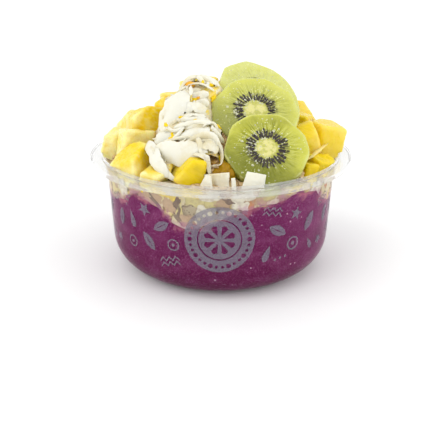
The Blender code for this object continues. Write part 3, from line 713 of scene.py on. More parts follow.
class MakeBlend(bpy.types.Operator):
    """Fill the tub with the blend, up to its uneven level"""

    bl_idname = "bowl.make_blend"
    bl_label = "Pitaya blend"

    def execute(self, context):
        blend = context.scene.bowl_blend
        piece = fill_tub(blend, context.scene.bowl_tub)
        dress(piece, blend_finish(blend), ["pitaya_blend"])
        return {"FINISHED"}


# Granola ----------------------------------------------------------------------------------------

def granola_finish(granola, blend):
    """Toasted oats above; at the wall soaked and juicy, smeared with blend at the bottom."""
    oats = Finish("granola", Roughness=0.62, Specular_IOR_Level=0.3)
    place = oats.place()
    wobble = oats.node("ShaderNodeVectorMath", {"operation": "MULTIPLY_ADD"}, {
        0: oats.node("ShaderNodeTexNoise", {}, {"Vector": place, "Scale": 220.0}, "Color"),
        1: (0.005, 0.005, 0.005), 2: place})
    fine = oats.clouds(place, 900, 3.0)
    shade = oats.part(oats.cells(wobble, 190, "Color"), "X")
    crack = oats.cells(wobble, 190, "Distance", "DISTANCE_TO_EDGE")
    dry = oats.mix(oats.span(shade, 0.2, 0.75), granola.toasted, granola.oat)
    dry = oats.mix(0.4 * oats.span(fine, 0.35, 0.65), dry, granola.cream)
    # Painted shade: dark lines along the cells' edges, in the cracks between clusters.
    dry = oats.over(dry, (0.16, 0.07, 0.03), crack, 0.0, 0.06, 0.75, 0.0)
    broad = oats.clouds(place, 75, 2.0)
    patches = oats.clouds(wobble, 200, 3.0)
    streaks = oats.clouds(oats.stretch(wobble, (1, 1, 0.5)), 260, 2.0)
    wet = oats.mix(oats.span(broad, 0.50, 0.62), granola.soaked, granola.juice)
    wet = oats.over(wet, granola.cream, patches, 0.48, 0.60, 0.0, 0.75)
    wet = oats.over(wet, (0.17, 0.095, 0.06), streaks, 0.36, 0.44, 0.8, 0.0)
    soaked = oats.kept("soaked")
    body = oats.mix(soaked, dry, wet)
    bits = oats.span(oats.cells(wobble, 260), 0.16, 0.24, 1.0, 0.0)
    rare = oats.span(oats.clouds(place, 95, 1.0), 0.50, 0.56) * (1.0 - soaked)
    body = oats.mix(0.85 * (bits * rare), body, granola.raisin)
    smear = oats.kept("above") + 9.0 * (0.5 - oats.clouds(place, 150, 4.0, 0.6))
    stain = oats.mix(oats.clouds(place, 260), blend.bright, blend.froth)
    body = oats.over(body, stain, smear, 0.0, 3.2, 0.95, 0.0)
    oats.feed("Base Color", body)
    oats.relief(0.6 * fine + oats.span(crack, 0.0, 0.12), 0.35 * MM, 0.7)
    return oats.material


def crumb_models():
    """A flat oat flake, a knobbly cluster and a small dark fruit, each at the origin."""
    models = []
    for size, lump, seed in (((3.0, 2.2, 0.5), 0.12, 3), ((2.0, 1.7, 1.4), 0.45, 7),
                             ((1.9, 1.2, 0.9), 0.25, 8)):
        model = added(bpy.ops.mesh.primitive_ico_sphere_add, subdivisions=2, radius=1.0)
        for vert in model.data.vertices:
            swell = 1 + lump * noise.noise(1.9 * vert.co + Vector((seed, 0, 0)))
            vert.co = [part * scale * MM * swell for part, scale in zip(vert.co, size)]
        models.append(model)
    return models


def crumb_finish(granola):
    """Loose crumbs: each kind and each crumb has its own shade."""
    crumb = Finish("granola_crumbs", Roughness=0.6)
    place = crumb.place()
    pick = crumb.kept("pick")
    fine = crumb.clouds(place, 1100, 3.0)
    shade = pick.calculate("FRACT", pick)
    oat = crumb.mix(shade, granola.oat, granola.cream)
    cluster = crumb.mix(shade, granola.toasted, granola.oat)
    body = crumb.mix(pick > 1.0, oat, cluster)
    body = crumb.mix(pick > 2.0, body, granola.raisin)
    body = crumb.mix(0.35 * crumb.span(fine, 0.4, 0.7), body, granola.cream)
    crumb.feed("Base Color", body)
    crumb.relief(fine, 0.25 * MM, 0.6)
    return crumb.material


def crumb_places(bed, wanted):
    """Open spots on the bed that crumbs can lie on, away from the fruit and the wall."""
    tub = bpy.context.scene.bowl_tub
    toppings = tree_of(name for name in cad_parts
                       if name not in ("bowl", "pitaya_blend", "granola_bed"))
    luck = random.Random(5)
    front, from_wall, from_fruit, open_above = 50 * MM, 3 * MM, 1.6 * MM, 12 * MM
    faces = [face for face in bed.data.polygons if face.normal.z > 0.15]
    places = []
    for _ in range(60 * wanted):
        face = luck.choice(faces)
        spot = face.center + face.normal * 0.6 * MM
        outward = Vector((spot.x, spot.y, 0)).length
        if outward > wall_radius(spot.z, tub.wall) - from_wall and spot.z < tub.bead_top:
            continue
        if spot.y < -front or toppings.find_nearest(spot, from_fruit)[0] is not None:
            continue
        if toppings.ray_cast(spot, (face.normal + Vector((0, 0, 0.6))).normalized(), open_above)[0]:
            continue
        kind = luck.choices((0, 1, 2), (6, 5, 1))[0]
        lie = face.normal.to_track_quat("Z", "Y") @ Euler((
            luck.uniform(-0.5, 0.5), luck.uniform(-0.5, 0.5), luck.uniform(0, 6.3))).to_quaternion()
        places.append((kind, Matrix.LocRotScale(spot, lie, [luck.uniform(0.6, 1.15)] * 3)))
        if len(places) == wanted:
            break
    return places


class MakeGranola(bpy.types.Operator):
    """Fill the space between the blend and the fruit with lumpy granola and loose crumbs"""

    bl_idname = "bowl.make_granola"
    bl_label = "Granola"

    def execute(self, context):
        granola = context.scene.bowl_granola
        bed = copy_of("granola_bed", "granola_mass")
        remesh(bed, granola.grain)
        push_out(bed, 4.5 * MM, 1.6 * MM)
        push_out(bed, 1.8 * MM, 0.9 * MM)
        near = press_to_wall(bed, 0.7 * INTO_WALL, 2.6 * MM)
        places = points_of(bed)
        above = over_blend(places)
        sunk, out_of_reach = 1.2, 9.0
        places[near & (above < sunk), 2] -= sunk * MM
        set_points(bed, places)
        smooth_shade(bed)
        store(bed, "above", np.where(near, above, out_of_reach))
        store(bed, "soaked", np.where(near, 1.0, 0.0))
        crumbs = strew("granola_crumbs", crumb_models(), crumb_places(bed, granola.crumbs))
        dress(bed, granola_finish(granola, context.scene.bowl_blend), ["granola_bed"])
        dress(crumbs, crumb_finish(granola))
        return {"FINISHED"}


# Fruit ------------------------------------------------------------------------------------------

def flesh_finish(name, ripe, pale, fibre, roughness):
    """Cut fruit flesh: fibres along each chunk's own grain, paler towards its edges, and wet."""
    flesh = Finish(name, Subsurface_Weight=0.3, Subsurface_Radius=(1.0, 0.7, 0.08),
                   Subsurface_Scale=3.0 * MM, Specular_IOR_Level=0.35)
    grain = flesh.kept("grain", "Vector")
    fibres = flesh.clouds(flesh.stretch(grain, (1, 1, 0.10)), 0.7 * fibre, 2.0, 0.5)
    strands = flesh.clouds(flesh.stretch(grain, (1, 1, 0.06)), 1.6 * fibre, 1.0, 0.5)
    areas = flesh.clouds(grain, 0.11, 2.0)
    ripeness = flesh.kept("ripeness") + 1.5 * (areas - 0.5) - 2.2 * flesh.kept("edge")
    deep = (ripe[0] * 0.92, ripe[1] * 0.86, ripe[2])
    overripe_and_shade = (ripe[0] * 0.55, ripe[1] * 0.52, ripe[2])
    body = flesh.over(pale, ripe, ripeness, 0.0, 0.9)
    # On the right side of mango_1 this overripe colour is painted shade.
    body = flesh.over(body, overripe_and_shade, ripeness, 1.2, 2.2, 0.0, 0.9)
    body = flesh.over(body, pale, fibres, 0.5, 0.75, 0.0, 0.3 + 0.2 * fibre)
    body = flesh.over(body, deep, strands, 0.26, 0.44, 0.1 + 0.35 * fibre, 0.0)
    flesh.feed("Base Color", body)
    flesh.feed("Roughness", flesh.span(fibres, 0.3, 0.7, roughness, roughness + 0.2))
    flesh.relief(fibres + 0.3 * strands, 0.35 * MM, 0.35)
    return flesh.material


# How ripe some chunks are, from pale and watery to deep yellow.
RIPENESS = {
    "pineapple_1": 0.45, "pineapple_2": 0.2, "pineapple_3": 0.25, "pineapple_4": 0.7,
    "pineapple_5": 0.35, "pineapple_6": 0.75, "pineapple_7": 0.35, "mango_1": 1.0, "mango_3": 0.5,
    "mango_4": 0.8, "mango_5": 1.2, "mango_8": 1.5,
}

# How much riper a chunk grows across, away and up, where that isn't only a little upwards. The
# deeper colour to the right of mango_1 is painted shade, and the paler right side of mango_4 is
# partly its pale cut flesh and partly a painted highlight.
RIPENING_AND_PAINTED_LIGHT = {
    "pineapple_1": (0.0, 0.0, 1.6), "mango_1": (2.0, 0.0, 0.0), "mango_4": (-2.0, 0.0, 0.2),
}


def make_chunk(node, grain, lump):
    """One chunk of fruit over its CAD node, with its own grain and ripeness."""
    luck = random.Random(node)
    piece = copy_of(node, node + "_flesh")
    remesh(piece, grain)
    push_out(piece, 6.0 * MM, 1.4 * lump)
    push_out(piece, 2.2 * MM, 0.6 * lump)
    turn = Euler([luck.uniform(0, 6.3) for _ in range(3)]).to_matrix()
    places = points_of(piece)
    reach = np.linalg.norm(places - places.mean(axis=0), axis=1)
    store(piece, "edge", np.clip(reach / np.median(reach) - 1.0, 0.0, 0.5))
    store(piece, "grain", (places / MM) @ np.array(turn) + 40 * luck.random())
    ripe = RIPENESS.get(node, luck.uniform(0.35, 0.95))
    relative = (places - places.mean(axis=0)) / np.ptp(places, axis=0)
    store(piece, "ripeness", ripe + relative @ np.array(RIPENING_AND_PAINTED_LIGHT.get(node, (0.0, 0.0, 0.3))))
    smooth_shade(piece)
    return piece


class MakeChunks(bpy.types.Operator):
    """Model the pineapple and mango chunks that lie in the heap"""

    bl_idname = "bowl.make_chunks"
    bl_label = "Pineapple and mango"

    def execute(self, context):
        fruit = context.scene.bowl_fruit
        pineapple = flesh_finish("pineapple_flesh", fruit.pineapple, fruit.pineapple_pale,
                                 fibre=1.0, roughness=0.24)
        mango = flesh_finish("mango_flesh", fruit.mango, fruit.mango_pale,
                             fibre=0.5, roughness=0.2)
        for node in nodes_named("pineapple"):
            dress(make_chunk(node, fruit.grain, 1.0 * MM), pineapple, [node])
        for node in nodes_named("mango"):
            dress(make_chunk(node, fruit.grain, 0.6 * MM), mango, [node])
        return {"FINISHED"}


def smeared(flesh, body, blend):
    """A colour with a smear of blend over it along the lower edge of what lies at the wall."""
    smear = flesh.kept("above") + 16.0 * (0.5 - flesh.clouds(flesh.place(), 170, 4.0, 0.6))
    stain = flesh.mix(0.6, body, blend.froth)
    return flesh.over(body, stain, smear, 0.5, 4.5, 0.85, 0.0)


def wall_fruit_finish(fruit, blend):
    """Pale wet fruit, blotchy, with a smear of blend along its lower edge."""
    flesh = Finish("wall_fruit_flesh", Roughness=0.3, Specular_IOR_Level=0.3,
                   Subsurface_Weight=0.2, Subsurface_Scale=2.0 * MM)
    place = flesh.place()
    broad = flesh.clouds(place, 90, 3.0) + 0.3 * (flesh.kept("ripeness") - 0.6)
    fine = flesh.clouds(place, 420, 3.0)
    body = flesh.mix(flesh.span(broad, 0.40, 0.62), (0.70, 0.62, 0.46), fruit.pale)
    body = flesh.over(body, (0.66, 0.55, 0.20), broad, 0.56, 0.70, 0.0, 0.6)
    body = flesh.over(body, (0.36, 0.26, 0.17), fine, 0.34, 0.46, 0.45, 0.0)
    flesh.feed("Base Color", smeared(flesh, body, blend))
    flesh.relief(fine, 0.2 * MM, 0.4)
    return flesh.material


# What lies flat against the wall above the blend: which kind, its place along the wall and up it,
# length, width and turn, in millimetres and degrees. The kinds are dark peel, pale fruit, soaked
# nut, orange peel, coconut, speckled fruit, yellow fruit and kiwi.
DARK_PEEL, SPECKLED = 0, 5
WALL_BITS = (
    (2, -27.5, 55, 10, 7.5, -60), (2, -35, 58, 8, 5, -30), (0, -36, 55.5, 12, 2.4, -45),
    (1, -13, 59, 16, 8, -8), (0, -23, 57.5, 7, 3.6, 70), (0, -22.3, 51.5, 9, 1.8, 80),
    (5, -16, 53.5, 10, 8, 15), (2, -17.5, 47.5, 10, 7.5, -30), (0, -23, 48.5, 7, 2.2, -50),
    (4, -7.5, 52, 13, 12, 0), (1, -4, 59, 10, 7, 10), (2, 1.5, 58.5, 10, 7, 0),
    (0, 4.5, 59.5, 6, 3.0, -25), (4, 9, 58, 9, 7, -25), (4, 13, 56, 7, 6, 20),
    (0, 12, 53.4, 5.5, 2.2, -20), (3, 16.5, 57, 9, 3.2, 80), (2, 22, 59.5, 12, 7, 8),
    (1, 27, 60.5, 9, 5, 10), (2, 34.5, 60.5, 9, 4.5, 16), (4, 60, 57, 14, 10, 15),
    (2, -44, 59.5, 9, 5, 5), (2, -52, 59, 8, 5, 20), (0, 40, 61, 5, 1.8, 15),
    (4, 3, 51.5, 9, 7, 30), (6, -13, 63, 22, 4.5, -4), (6, -34, 62.5, 13, 4.5, -18),
    (4, -5, 62, 14, 5.5, 0), (4, 12, 61.5, 12, 6, 6), (7, 26, 63, 15, 4, 8),
    (6, 41, 61.5, 10, 3.5, 16), (6, -24, 59, 8, 4, -30), (4, -62, 58, 9, 9, -15),
    (2, -50, 60.5, 12, 6, 10), (2, -40, 56, 9, 4, -35),
)
BITS_LEVEL = 60 * MM         # the height at which places along the wall are true to size
BITS_TOP = 61                # the highest that one lies in the rest of the wall, in millimetres
FRONT_ENDS = (-66.0, 72.0)   # how far along the wall the bits of the front reach to each side


def wall_bit_specs():
    """The bits of the front, and more of their like round the rest of the wall."""
    luck = random.Random(21)
    kinds = (0, 1, 2, 2, 4, 5, 3, 6, 6)
    half_turn = math.pi * float(wall_radius(BITS_LEVEL)) / MM
    angles, levels = blend_levels()
    specs = list(WALL_BITS)
    along = FRONT_ENDS[1]
    while along < 2 * half_turn + FRONT_ENDS[0]:
        turn = along / half_turn * math.pi
        low = float(np.interp(turn, angles, levels, period=2 * math.pi)) / MM
        size = luck.uniform(4, 10)
        specs.append((luck.choice(kinds), along, luck.uniform(low, BITS_TOP), size,
                      size * luck.uniform(0.4, 0.8), luck.uniform(-60, 60)))
        along += luck.uniform(3, 9)
    return specs


def bit_points(shape, k, spec, inset):
    """One bit's points, pressed flat against the wall."""
    kind, along, height, length, width, turn = spec
    level_radius = float(wall_radius(BITS_LEVEL))
    lean = Matrix.Rotation(math.radians(turn), 2)
    corners = 3 if kind == SPECKLED else 4
    sharpness = 0.25 if kind == DARK_PEEL else 0.10
    points = []
    for point in shape:
        bulge = sharpness * math.cos(corners * math.atan2(point.y, point.x) + k)
        swell = 1 + bulge + 0.45 * noise.noise(1.9 * point + Vector((k, 0, 0)))
        spot = lean @ Vector((0.5 * length * point.x * swell, 0.5 * width * point.y * swell))
        up = (height + spot.y) * MM
        round_wall = (along + spot.x) * MM / level_radius
        reach = float(wall_radius(up, inset)) + min(0.0, 1.6 * point.z - 0.5) * MM
        points.append((reach * math.sin(round_wall), -reach * math.cos(round_wall), up))
    return points


def wall_bits(specs):
    """One piece of bits pressed flat against the wall, with each one's kind and outline kept."""
    tub = bpy.context.scene.bowl_tub
    model = added(bpy.ops.mesh.primitive_ico_sphere_add, subdivisions=4, radius=1.0)
    shape = [vert.co.copy() for vert in model.data.vertices]
    sides = [tuple(face.vertices) for face in model.data.polygons]
    discard([model])
    verts, faces, kinds = [], [], []
    luck = random.Random(4)
    for k, spec in enumerate(specs):
        start = len(verts)
        into = (1.4 if spec[0] == DARK_PEEL else 0.95) + 0.3 * k / len(specs)
        verts.extend(bit_points(shape, k, spec, tub.wall - into * INTO_WALL))
        faces.extend(tuple(start + corner for corner in side) for side in sides)
        kinds.extend([spec[0] + OWN_SHADE * luck.random()] * len(shape))
    piece = new_piece("wall_bits", verts, faces=faces)
    store(piece, "pick", kinds)
    store(piece, "rim", [math.hypot(point.x, point.y) for point in shape] * len(specs))
    store(piece, "above", over_blend(points_of(piece)))
    smooth_shade(piece)
    return piece


def wall_bits_finish(blend):
    """Each kind of bit has its colour, painted shade round its outline and a smear of blend below.
    """
    bit = Finish("wall_bits", Roughness=0.4, Specular_IOR_Level=0.3)
    place = bit.place()
    pick = bit.kept("pick")
    fine = bit.clouds(place, 420, 3.0)
    body = bit.mix(fine, (0.06, 0.035, 0.03), (0.16, 0.085, 0.075))
    for kind, shade in enumerate(((0.56, 0.49, 0.20), (0.46, 0.30, 0.19), (0.50, 0.19, 0.07),
                                  (0.74, 0.70, 0.58), (0.36, 0.29, 0.19), (0.80, 0.60, 0.06),
                                  (0.36, 0.38, 0.05))):
        body = bit.mix(pick > kind + 1.0, body, shade)
    body = bit.over(body, (0.30, 0.19, 0.13), fine, 0.40, 0.56, 0.35, 0.0)
    body = bit.mix(0.3 * bit.clouds(place, 160, 2.0), body, (0.74, 0.66, 0.48))
    specks = bit.span(bit.cells(place, 700), 0.18, 0.28, 1.0, 0.0)
    speckled = (pick > SPECKLED) * (pick < SPECKLED + 1.0)
    body = bit.mix(0.8 * (specks * speckled), body, (0.06, 0.04, 0.03))
    # Painted shade round each bit's outline, strongest on the speckled bits.
    outline = bit.span(bit.kept("rim") + 0.5 * (bit.clouds(place, 150, 2.0) - 0.5), 0.55, 1.0)
    body = bit.mix(outline * (0.12 + 0.5 * speckled), body, (0.12, 0.07, 0.05))
    bit.feed("Base Color", smeared(bit, body, blend))
    bit.relief(fine, 0.2 * MM, 0.4)
    return bit.material


class MakeWallFruit(bpy.types.Operator):
    """Model the pale fruit and the small bits that are pressed against the clear wall"""

    bl_idname = "bowl.make_wall_fruit"
    bl_label = "Fruit at the wall"

    def execute(self, context):
        fruit = context.scene.bowl_fruit
        pale = wall_fruit_finish(fruit, context.scene.bowl_blend)
        for node in nodes_named("wall_fruit"):
            piece = make_chunk(node, 0.7 * fruit.grain, 0.7 * MM)
            middle = points_of(piece).mean(axis=0)
            set_points(piece, middle + (points_of(piece) - middle) * 1.08)
            press_to_wall(piece, 0.9 * INTO_WALL, 3.0 * MM)
            store(piece, "above", over_blend(points_of(piece)))
            dress(piece, pale, [node])
        bits = wall_bits(wall_bit_specs())
        dress(bits, wall_bits_finish(context.scene.bowl_blend))
        return {"FINISHED"}


# Kiwi -------------------------------------------------------------------------------------------

def largest_flat(normals, areas):
    """The faces of the largest flat that looks up, and the one that best stands for it."""
    alike = 0.9998
    upward = np.where(normals[:, 2] > 0.1)[0]
    reaches = (normals[upward] @ normals.T > alike) @ areas
    best = upward[int(np.argmax(reaches))]
    return np.where(normals @ normals[best] > alike)[0], best


class SliceFrame:
    """Where a slice lies: its front face's middle, its axes and its outline."""

    def __init__(self, node):
        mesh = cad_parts[node].data
        normals = np.array([face.normal for face in mesh.polygons])
        areas = np.array([face.area for face in mesh.polygons])
        flat, best = largest_flat(normals, areas)
        self.out = Vector(normals[best]).normalized()
        self.across = Vector((-self.out.y, self.out.x, 0)).normalized()
        self.up = self.out.cross(self.across)
        ids = sorted({k for face in flat for k in mesh.polygons[int(face)].vertices})
        corners = np.array([mesh.vertices[k].co for k in ids])
        centres = np.array([mesh.polygons[int(face)].center for face in flat])
        self.middle = Vector(np.average(centres, axis=0, weights=areas[flat]))
        inside = self.inside(corners)
        reach = np.hypot(inside[:, 0], inside[:, 1])
        keep = reach > 0.6 * reach.max()
        angles = np.arctan2(inside[keep, 1], inside[keep, 0])
        order = np.argsort(angles)
        self.angles = angles[order]
        self.reaches = reach[keep][order] + 0.9 * MM
        self.back = min((vert.co - self.middle).dot(self.out) for vert in mesh.vertices)

    def axes(self):
        """The slice's axes, one row each."""
        return np.array([self.across, self.up, self.out])

    def matrix(self):
        """The matrix that takes the slice's own frame to the bowl's."""
        turn = Matrix((self.across, self.up, self.out)).transposed().to_4x4()
        return Matrix.Translation(self.middle) @ turn

    def inside(self, places):
        """Places of the bowl's frame in the slice's own."""
        return (places - np.array(self.middle)) @ self.axes().T

    def outline(self, angle):
        """Radius of the outline at an angle."""
        return np.interp(angle, self.angles, self.reaches, period=2 * math.pi)

    def round_core(self, inside):
        """Each place's angle round the core, and its distance as a share of the outline's."""
        angle = np.arctan2(inside[:, 1], inside[:, 0])
        return angle, np.hypot(inside[:, 0], inside[:, 1]) / self.outline(angle)


def kiwi_streaks(flesh, kiwi, rho, belt, lines):
    """Green flesh, lighter outside, with pale and dark lines that run out from the core."""
    patches = flesh.clouds(flesh.place(), 60, 2.0)
    broad = flesh.clouds(flesh.stretch(flesh.kept("spoke", "Vector"), (1, 1, 0.3)), 6, 2.0)
    body = flesh.mix(flesh.span(rho + 0.45 * (patches - 0.5), 0.55, 1.0), kiwi.flesh, kiwi.rim)
    body = flesh.mix(belt * flesh.span(lines, 0.46, 0.64, 0.0, 0.7), body, kiwi.streak)
    body = flesh.mix(belt * flesh.span(lines, 0.38, 0.48, 0.6, 0.0), body, (0.15, 0.17, 0.01))
    return flesh.mix(belt * flesh.span(broad, 0.5, 0.7, 0.0, 0.25), body, kiwi.streak)


def kiwi_middle(flesh, kiwi, body, rho, lines):
    """A dark nest round the seeds, and the pale core with its soft outline."""
    nest = flesh.span(rho, 0.27, 0.33) * flesh.span(rho, 0.47, 0.56, 1.0, 0.0)
    body = flesh.mix(nest * flesh.span(lines, 0.46, 0.58, 0.85, 0.2), body, (0.06, 0.055, 0.025))
    grain = flesh.span(flesh.clouds(flesh.place(), 330, 3.0), 0.44, 0.60)
    core = flesh.mix(0.7 * grain, kiwi.core, (0.42, 0.43, 0.06))
    return flesh.over(body, core, rho + 0.16 * (lines - 0.5), 0.18, 0.32, 1.0, 0.0)


def kiwi_finish(kiwi):
    """Green flesh with a pale core, fine lines running out from it, painted glints and a pale rim.
    """
    flesh = Finish("kiwi_flesh", Subsurface_Weight=0.2, Subsurface_Radius=(0.9, 1.0, 0.12),
                   Subsurface_Scale=1.5 * MM, Specular_IOR_Level=0.4)
    spoke = flesh.kept("spoke", "Vector")
    rho = flesh.part(spoke, "Z")
    place = flesh.place()
    soft = flesh.clouds(place, 190, 3.0)
    lines = flesh.clouds(flesh.stretch(spoke, (1, 1, 0.12)), 26, 3.0, 0.6)
    belt = flesh.span(rho, 0.26, 0.34) * flesh.span(rho, 0.58, 0.92, 1.0, 0.0)
    body = kiwi_streaks(flesh, kiwi, rho, belt, lines)
    shaded = flesh.kept("low") + 0.7 * (soft - 0.5)
    body = flesh.over(body, (0.13, 0.145, 0.004), shaded, 0.0, 1.1, 0.0, 0.8)
    shining = flesh.kept("pale") * flesh.span(soft, 0.3, 0.6, 0.6, 1.0)
    body = flesh.mix(shining, body, (0.68, 0.70, 0.25))
    # Painted glints: small pale spots in patches, inside the rim.
    spots = flesh.span(flesh.cells(place, 620), 0.14, 0.24, 1.0, 0.0)
    sprinkled = flesh.span(flesh.clouds(place, 150, 2.0), 0.46, 0.56)
    spots = 0.75 * (spots * (sprinkled * flesh.span(rho, 0.9, 0.98, 1.0, 0.0)))
    body = flesh.mix(spots, body, (0.86, 0.86, 0.48))
    body = kiwi_middle(flesh, kiwi, body, rho, lines)
    band = rho + 0.22 * (soft - 0.5)
    lit = flesh.span(flesh.kept("low"), 0.0, 0.55, 0.6, 0.0)
    body = flesh.mix(lit * flesh.span(band, 0.91, 0.99), body, (0.62, 0.65, 0.22))
    body = flesh.over(body, (0.66, 0.67, 0.24), band, 0.985, 1.02, 0.0, 0.6)
    flesh.feed("Base Color", body)
    flesh.feed("Roughness", flesh.span(flesh.clouds(place, 420, 2.0), 0.35, 0.65, 0.15, 0.4))
    flesh.relief(belt * lines + 0.5 * flesh.clouds(place, 700, 2.0), 0.4 * MM, 0.6)
    return flesh.material


def seed_finish(kiwi):
    """Glossy dark seeds, some browner than others."""
    seed = Finish("kiwi_seeds", Roughness=0.22)
    pick = seed.kept("pick")
    grain = seed.clouds(seed.place(), 1500, 2.0)
    body = seed.mix(0.5 * pick + 0.3 * grain, kiwi.seeds, (0.055, 0.030, 0.022))
    seed.feed("Base Color", body)
    seed.relief(grain, 0.1 * MM, 0.3)
    return seed.material


def seed_model(kiwi):
    """One seed lying along X, its narrow end towards the core."""
    model = added(bpy.ops.mesh.primitive_uv_sphere_add, segments=10, ring_count=7, radius=1.0)
    for vert in model.data.vertices:
        narrow = 0.78 + 0.22 * vert.co.x
        vert.co = Vector((vert.co.x, 0.52 * narrow * vert.co.y, 0.34 * narrow * vert.co.z))
        vert.co *= 0.5 * kiwi.seed
    return model


def seed_places(place, kiwi, luck, depth, spread):
    """Seeds in lines round the core, two or three to a line, in a face at a depth."""
    places = []
    for line in range(kiwi.lines):
        angle = 2 * math.pi * (line + luck.uniform(-0.25, 0.25)) / kiwi.lines
        first = luck.uniform(0.31, 0.36)
        for step in range(luck.choice((2, 2, 3))):
            rho = first + 0.080 * step + luck.uniform(-0.012, 0.012)
            turn = angle + luck.uniform(-0.03, 0.03)
            reach = spread * rho * float(place.outline(turn))
            spot = Vector((reach * math.cos(turn), reach * math.sin(turn), depth))
            lie = Euler((luck.uniform(-0.3, 0.3), luck.uniform(-0.12, 0.12),
                         turn + luck.uniform(-0.2, 0.2)))
            size = luck.uniform(0.75, 1.05)
            places.append((0, place.matrix() @ Matrix.LocRotScale(spot, lie, [size] * 3)))
    return places


def juice_places(place, kiwi, luck):
    """Small drops of juice, most of them on the core."""
    places = []
    for k in range(kiwi.drops):
        angle = luck.gauss(2.8, 1.2) if k % 3 else luck.uniform(0, 2 * math.pi)
        rho = luck.uniform(0.05, 0.52) if k % 3 else luck.uniform(0.0, 0.93)
        reach = rho * float(place.outline(angle))
        spot = Vector((reach * math.cos(angle), reach * math.sin(angle), 0))
        size = luck.uniform(0.30, 0.52) if k % 8 else luck.uniform(0.5, 0.95)
        scale = (size * luck.uniform(0.8, 1.3), size, 0.45 * size)
        places.append((0, place.matrix() @ Matrix.LocRotScale(spot, Euler((0, 0, angle)), scale)))
    return places


def drop_model():
    """One drop of juice at the origin."""
    return added(bpy.ops.mesh.primitive_uv_sphere_add, segments=14, ring_count=9, radius=0.9 * MM)


def juice_finish():
    """Juice, half clear, pale so that its drops read as painted glints."""
    juice = Finish("kiwi_juice", Base_Color=(0.95, 0.95, 0.72), Transmission_Weight=0.55, IOR=1.34)
    juice.feed("Roughness", juice.span(juice.clouds(juice.place(), 900), 0.3, 0.7, 0.0, 0.08))
    juice.let_lamps_through((0.97, 1.0, 0.9))
    return juice.material


# How the slices differ: how pale the light that shines through makes one, how dark the painted
# shade on its top is, and how far its seeds spread out.
SLICE_LOOKS = {
    "kiwi_slice_front": (0.0, 2.0, 1.0),
    "kiwi_slice_middle": (0.25, 0.0, 1.0),
    "kiwi_slice_back": (0.75, 0.0, 0.84),
}


def make_slice(node, place, kiwi, pale, top_shade):
    """One slice over its CAD node, with the place of each point round the core kept on it."""
    piece = copy_of(node, node + "_flesh")
    matrix = place.matrix()
    piece.data.transform(matrix.inverted())
    remesh(piece, kiwi.grain)
    places = points_of(piece)
    angle, rho = place.round_core(places)
    store(piece, "spoke", np.stack([np.cos(angle), np.sin(angle), rho], axis=1))
    # Painted shade: the slice grows darker towards its lower left, and the front slice also under
    # its top edge, where the middle slice shades it.
    uphill = np.array([0.5, 0.87, 0.0])
    low = np.clip(0.28 - places @ uphill / (19 * MM), 0.0, 1.1)
    top = top_shade * np.clip(rho * np.sin(angle) - 0.45, 0.0, 0.25)
    top *= np.clip((1.0 - rho) / 0.08, 0.0, 1.0)
    store(piece, "low", low + top)
    store(piece, "pale", np.full(len(places), pale))
    front = places[:, 2] > -0.8 * MM
    furrows = 0.12 * MM * np.sin(kiwi.lines * angle) * np.clip(1 - abs(rho - 0.45) / 0.2, 0, 1)
    core = 0.35 * MM * np.clip(1 - (rho / 0.3) ** 2, 0, 1)
    places[:, 2] += np.where(front, furrows + core, 0.0)
    set_points(piece, places)
    piece.data.transform(matrix)
    smooth_shade(piece)
    return piece


class MakeKiwi(bpy.types.Operator):
    """Model the kiwi slices with their seeds and drops of juice"""

    bl_idname = "bowl.make_kiwi"
    bl_label = "Kiwi slices"

    def execute(self, context):
        kiwi = context.scene.bowl_kiwi
        flesh = kiwi_finish(kiwi)
        luck = random.Random(11)
        seeds, drops = [], []
        for node in nodes_named("kiwi"):
            place = SliceFrame(node)
            pale, top_shade, spread = SLICE_LOOKS[node]
            dress(make_slice(node, place, kiwi, pale, top_shade), flesh, [node])
            for face in (0.0, place.back):
                seeds += seed_places(place, kiwi, luck, face + 0.1 * MM, spread)
            drops += juice_places(place, kiwi, luck)
        dress(strew("kiwi_seeds", [seed_model(kiwi)], seeds), seed_finish(kiwi))
        dress(strew("kiwi_juice", [drop_model()], drops), juice_finish())
        return {"FINISHED"}


# Coconut ----------------------------------------------------------------------------------------

# The large shavings, as their place from above, their heading (0 across, 90 up the slope), length,
# width, curl, roll about their length and lift over the heap, in millimetres and degrees.
SHAVINGS = (
    (-25, -18, 68, 30, 16.0, 50, -12, 2.0),
    (-19, -6, 14, 18, 3.5, 60, 34, 2.0),
    (-11, -4, -8, 16, 3.0, 70, -30, 2.2),
    (-24, 0, 30, 14, 4.0, 60, 12, 1.6),
    (-7, 3, -30, 15, 4.0, 60, 24, 1.8),
    (-15, 8, 18, 18, 5.0, 60, -10, 1.8),
    (-12, -15, 60, 12, 3.0, 60, 30, 1.4),
    (-11, -15, 10, 10, 4.0, 50, 26, 1.6),
    (-19, -24, 50, 10, 3.0, 40, 30, 1.6),
    (-13, -30, 2, 18, 5.0, 60, 14, 1.6),
    (-22, -31, 70, 9, 3.0, 40, -30, 1.6),
    (-30, -35, 80, 10, 8.0, 40, 16, 1.4),
    (-23, -44, 10, 30, 13.0, 80, -4, 2.2),
    (-33, -45, -64, 26, 7.0, 60, 10, 2.2),
    (-27, -50, -50, 14, 3.0, 60, 20, 1.6),
    (-8, -39, -10, 14, 5.0, 50, 10, 1.4),
    (-11, -50, -30, 13, 2.0, 80, 40, 1.4),
    (-37, -33, 75, 9, 4.0, 40, 30, 1.4),
)

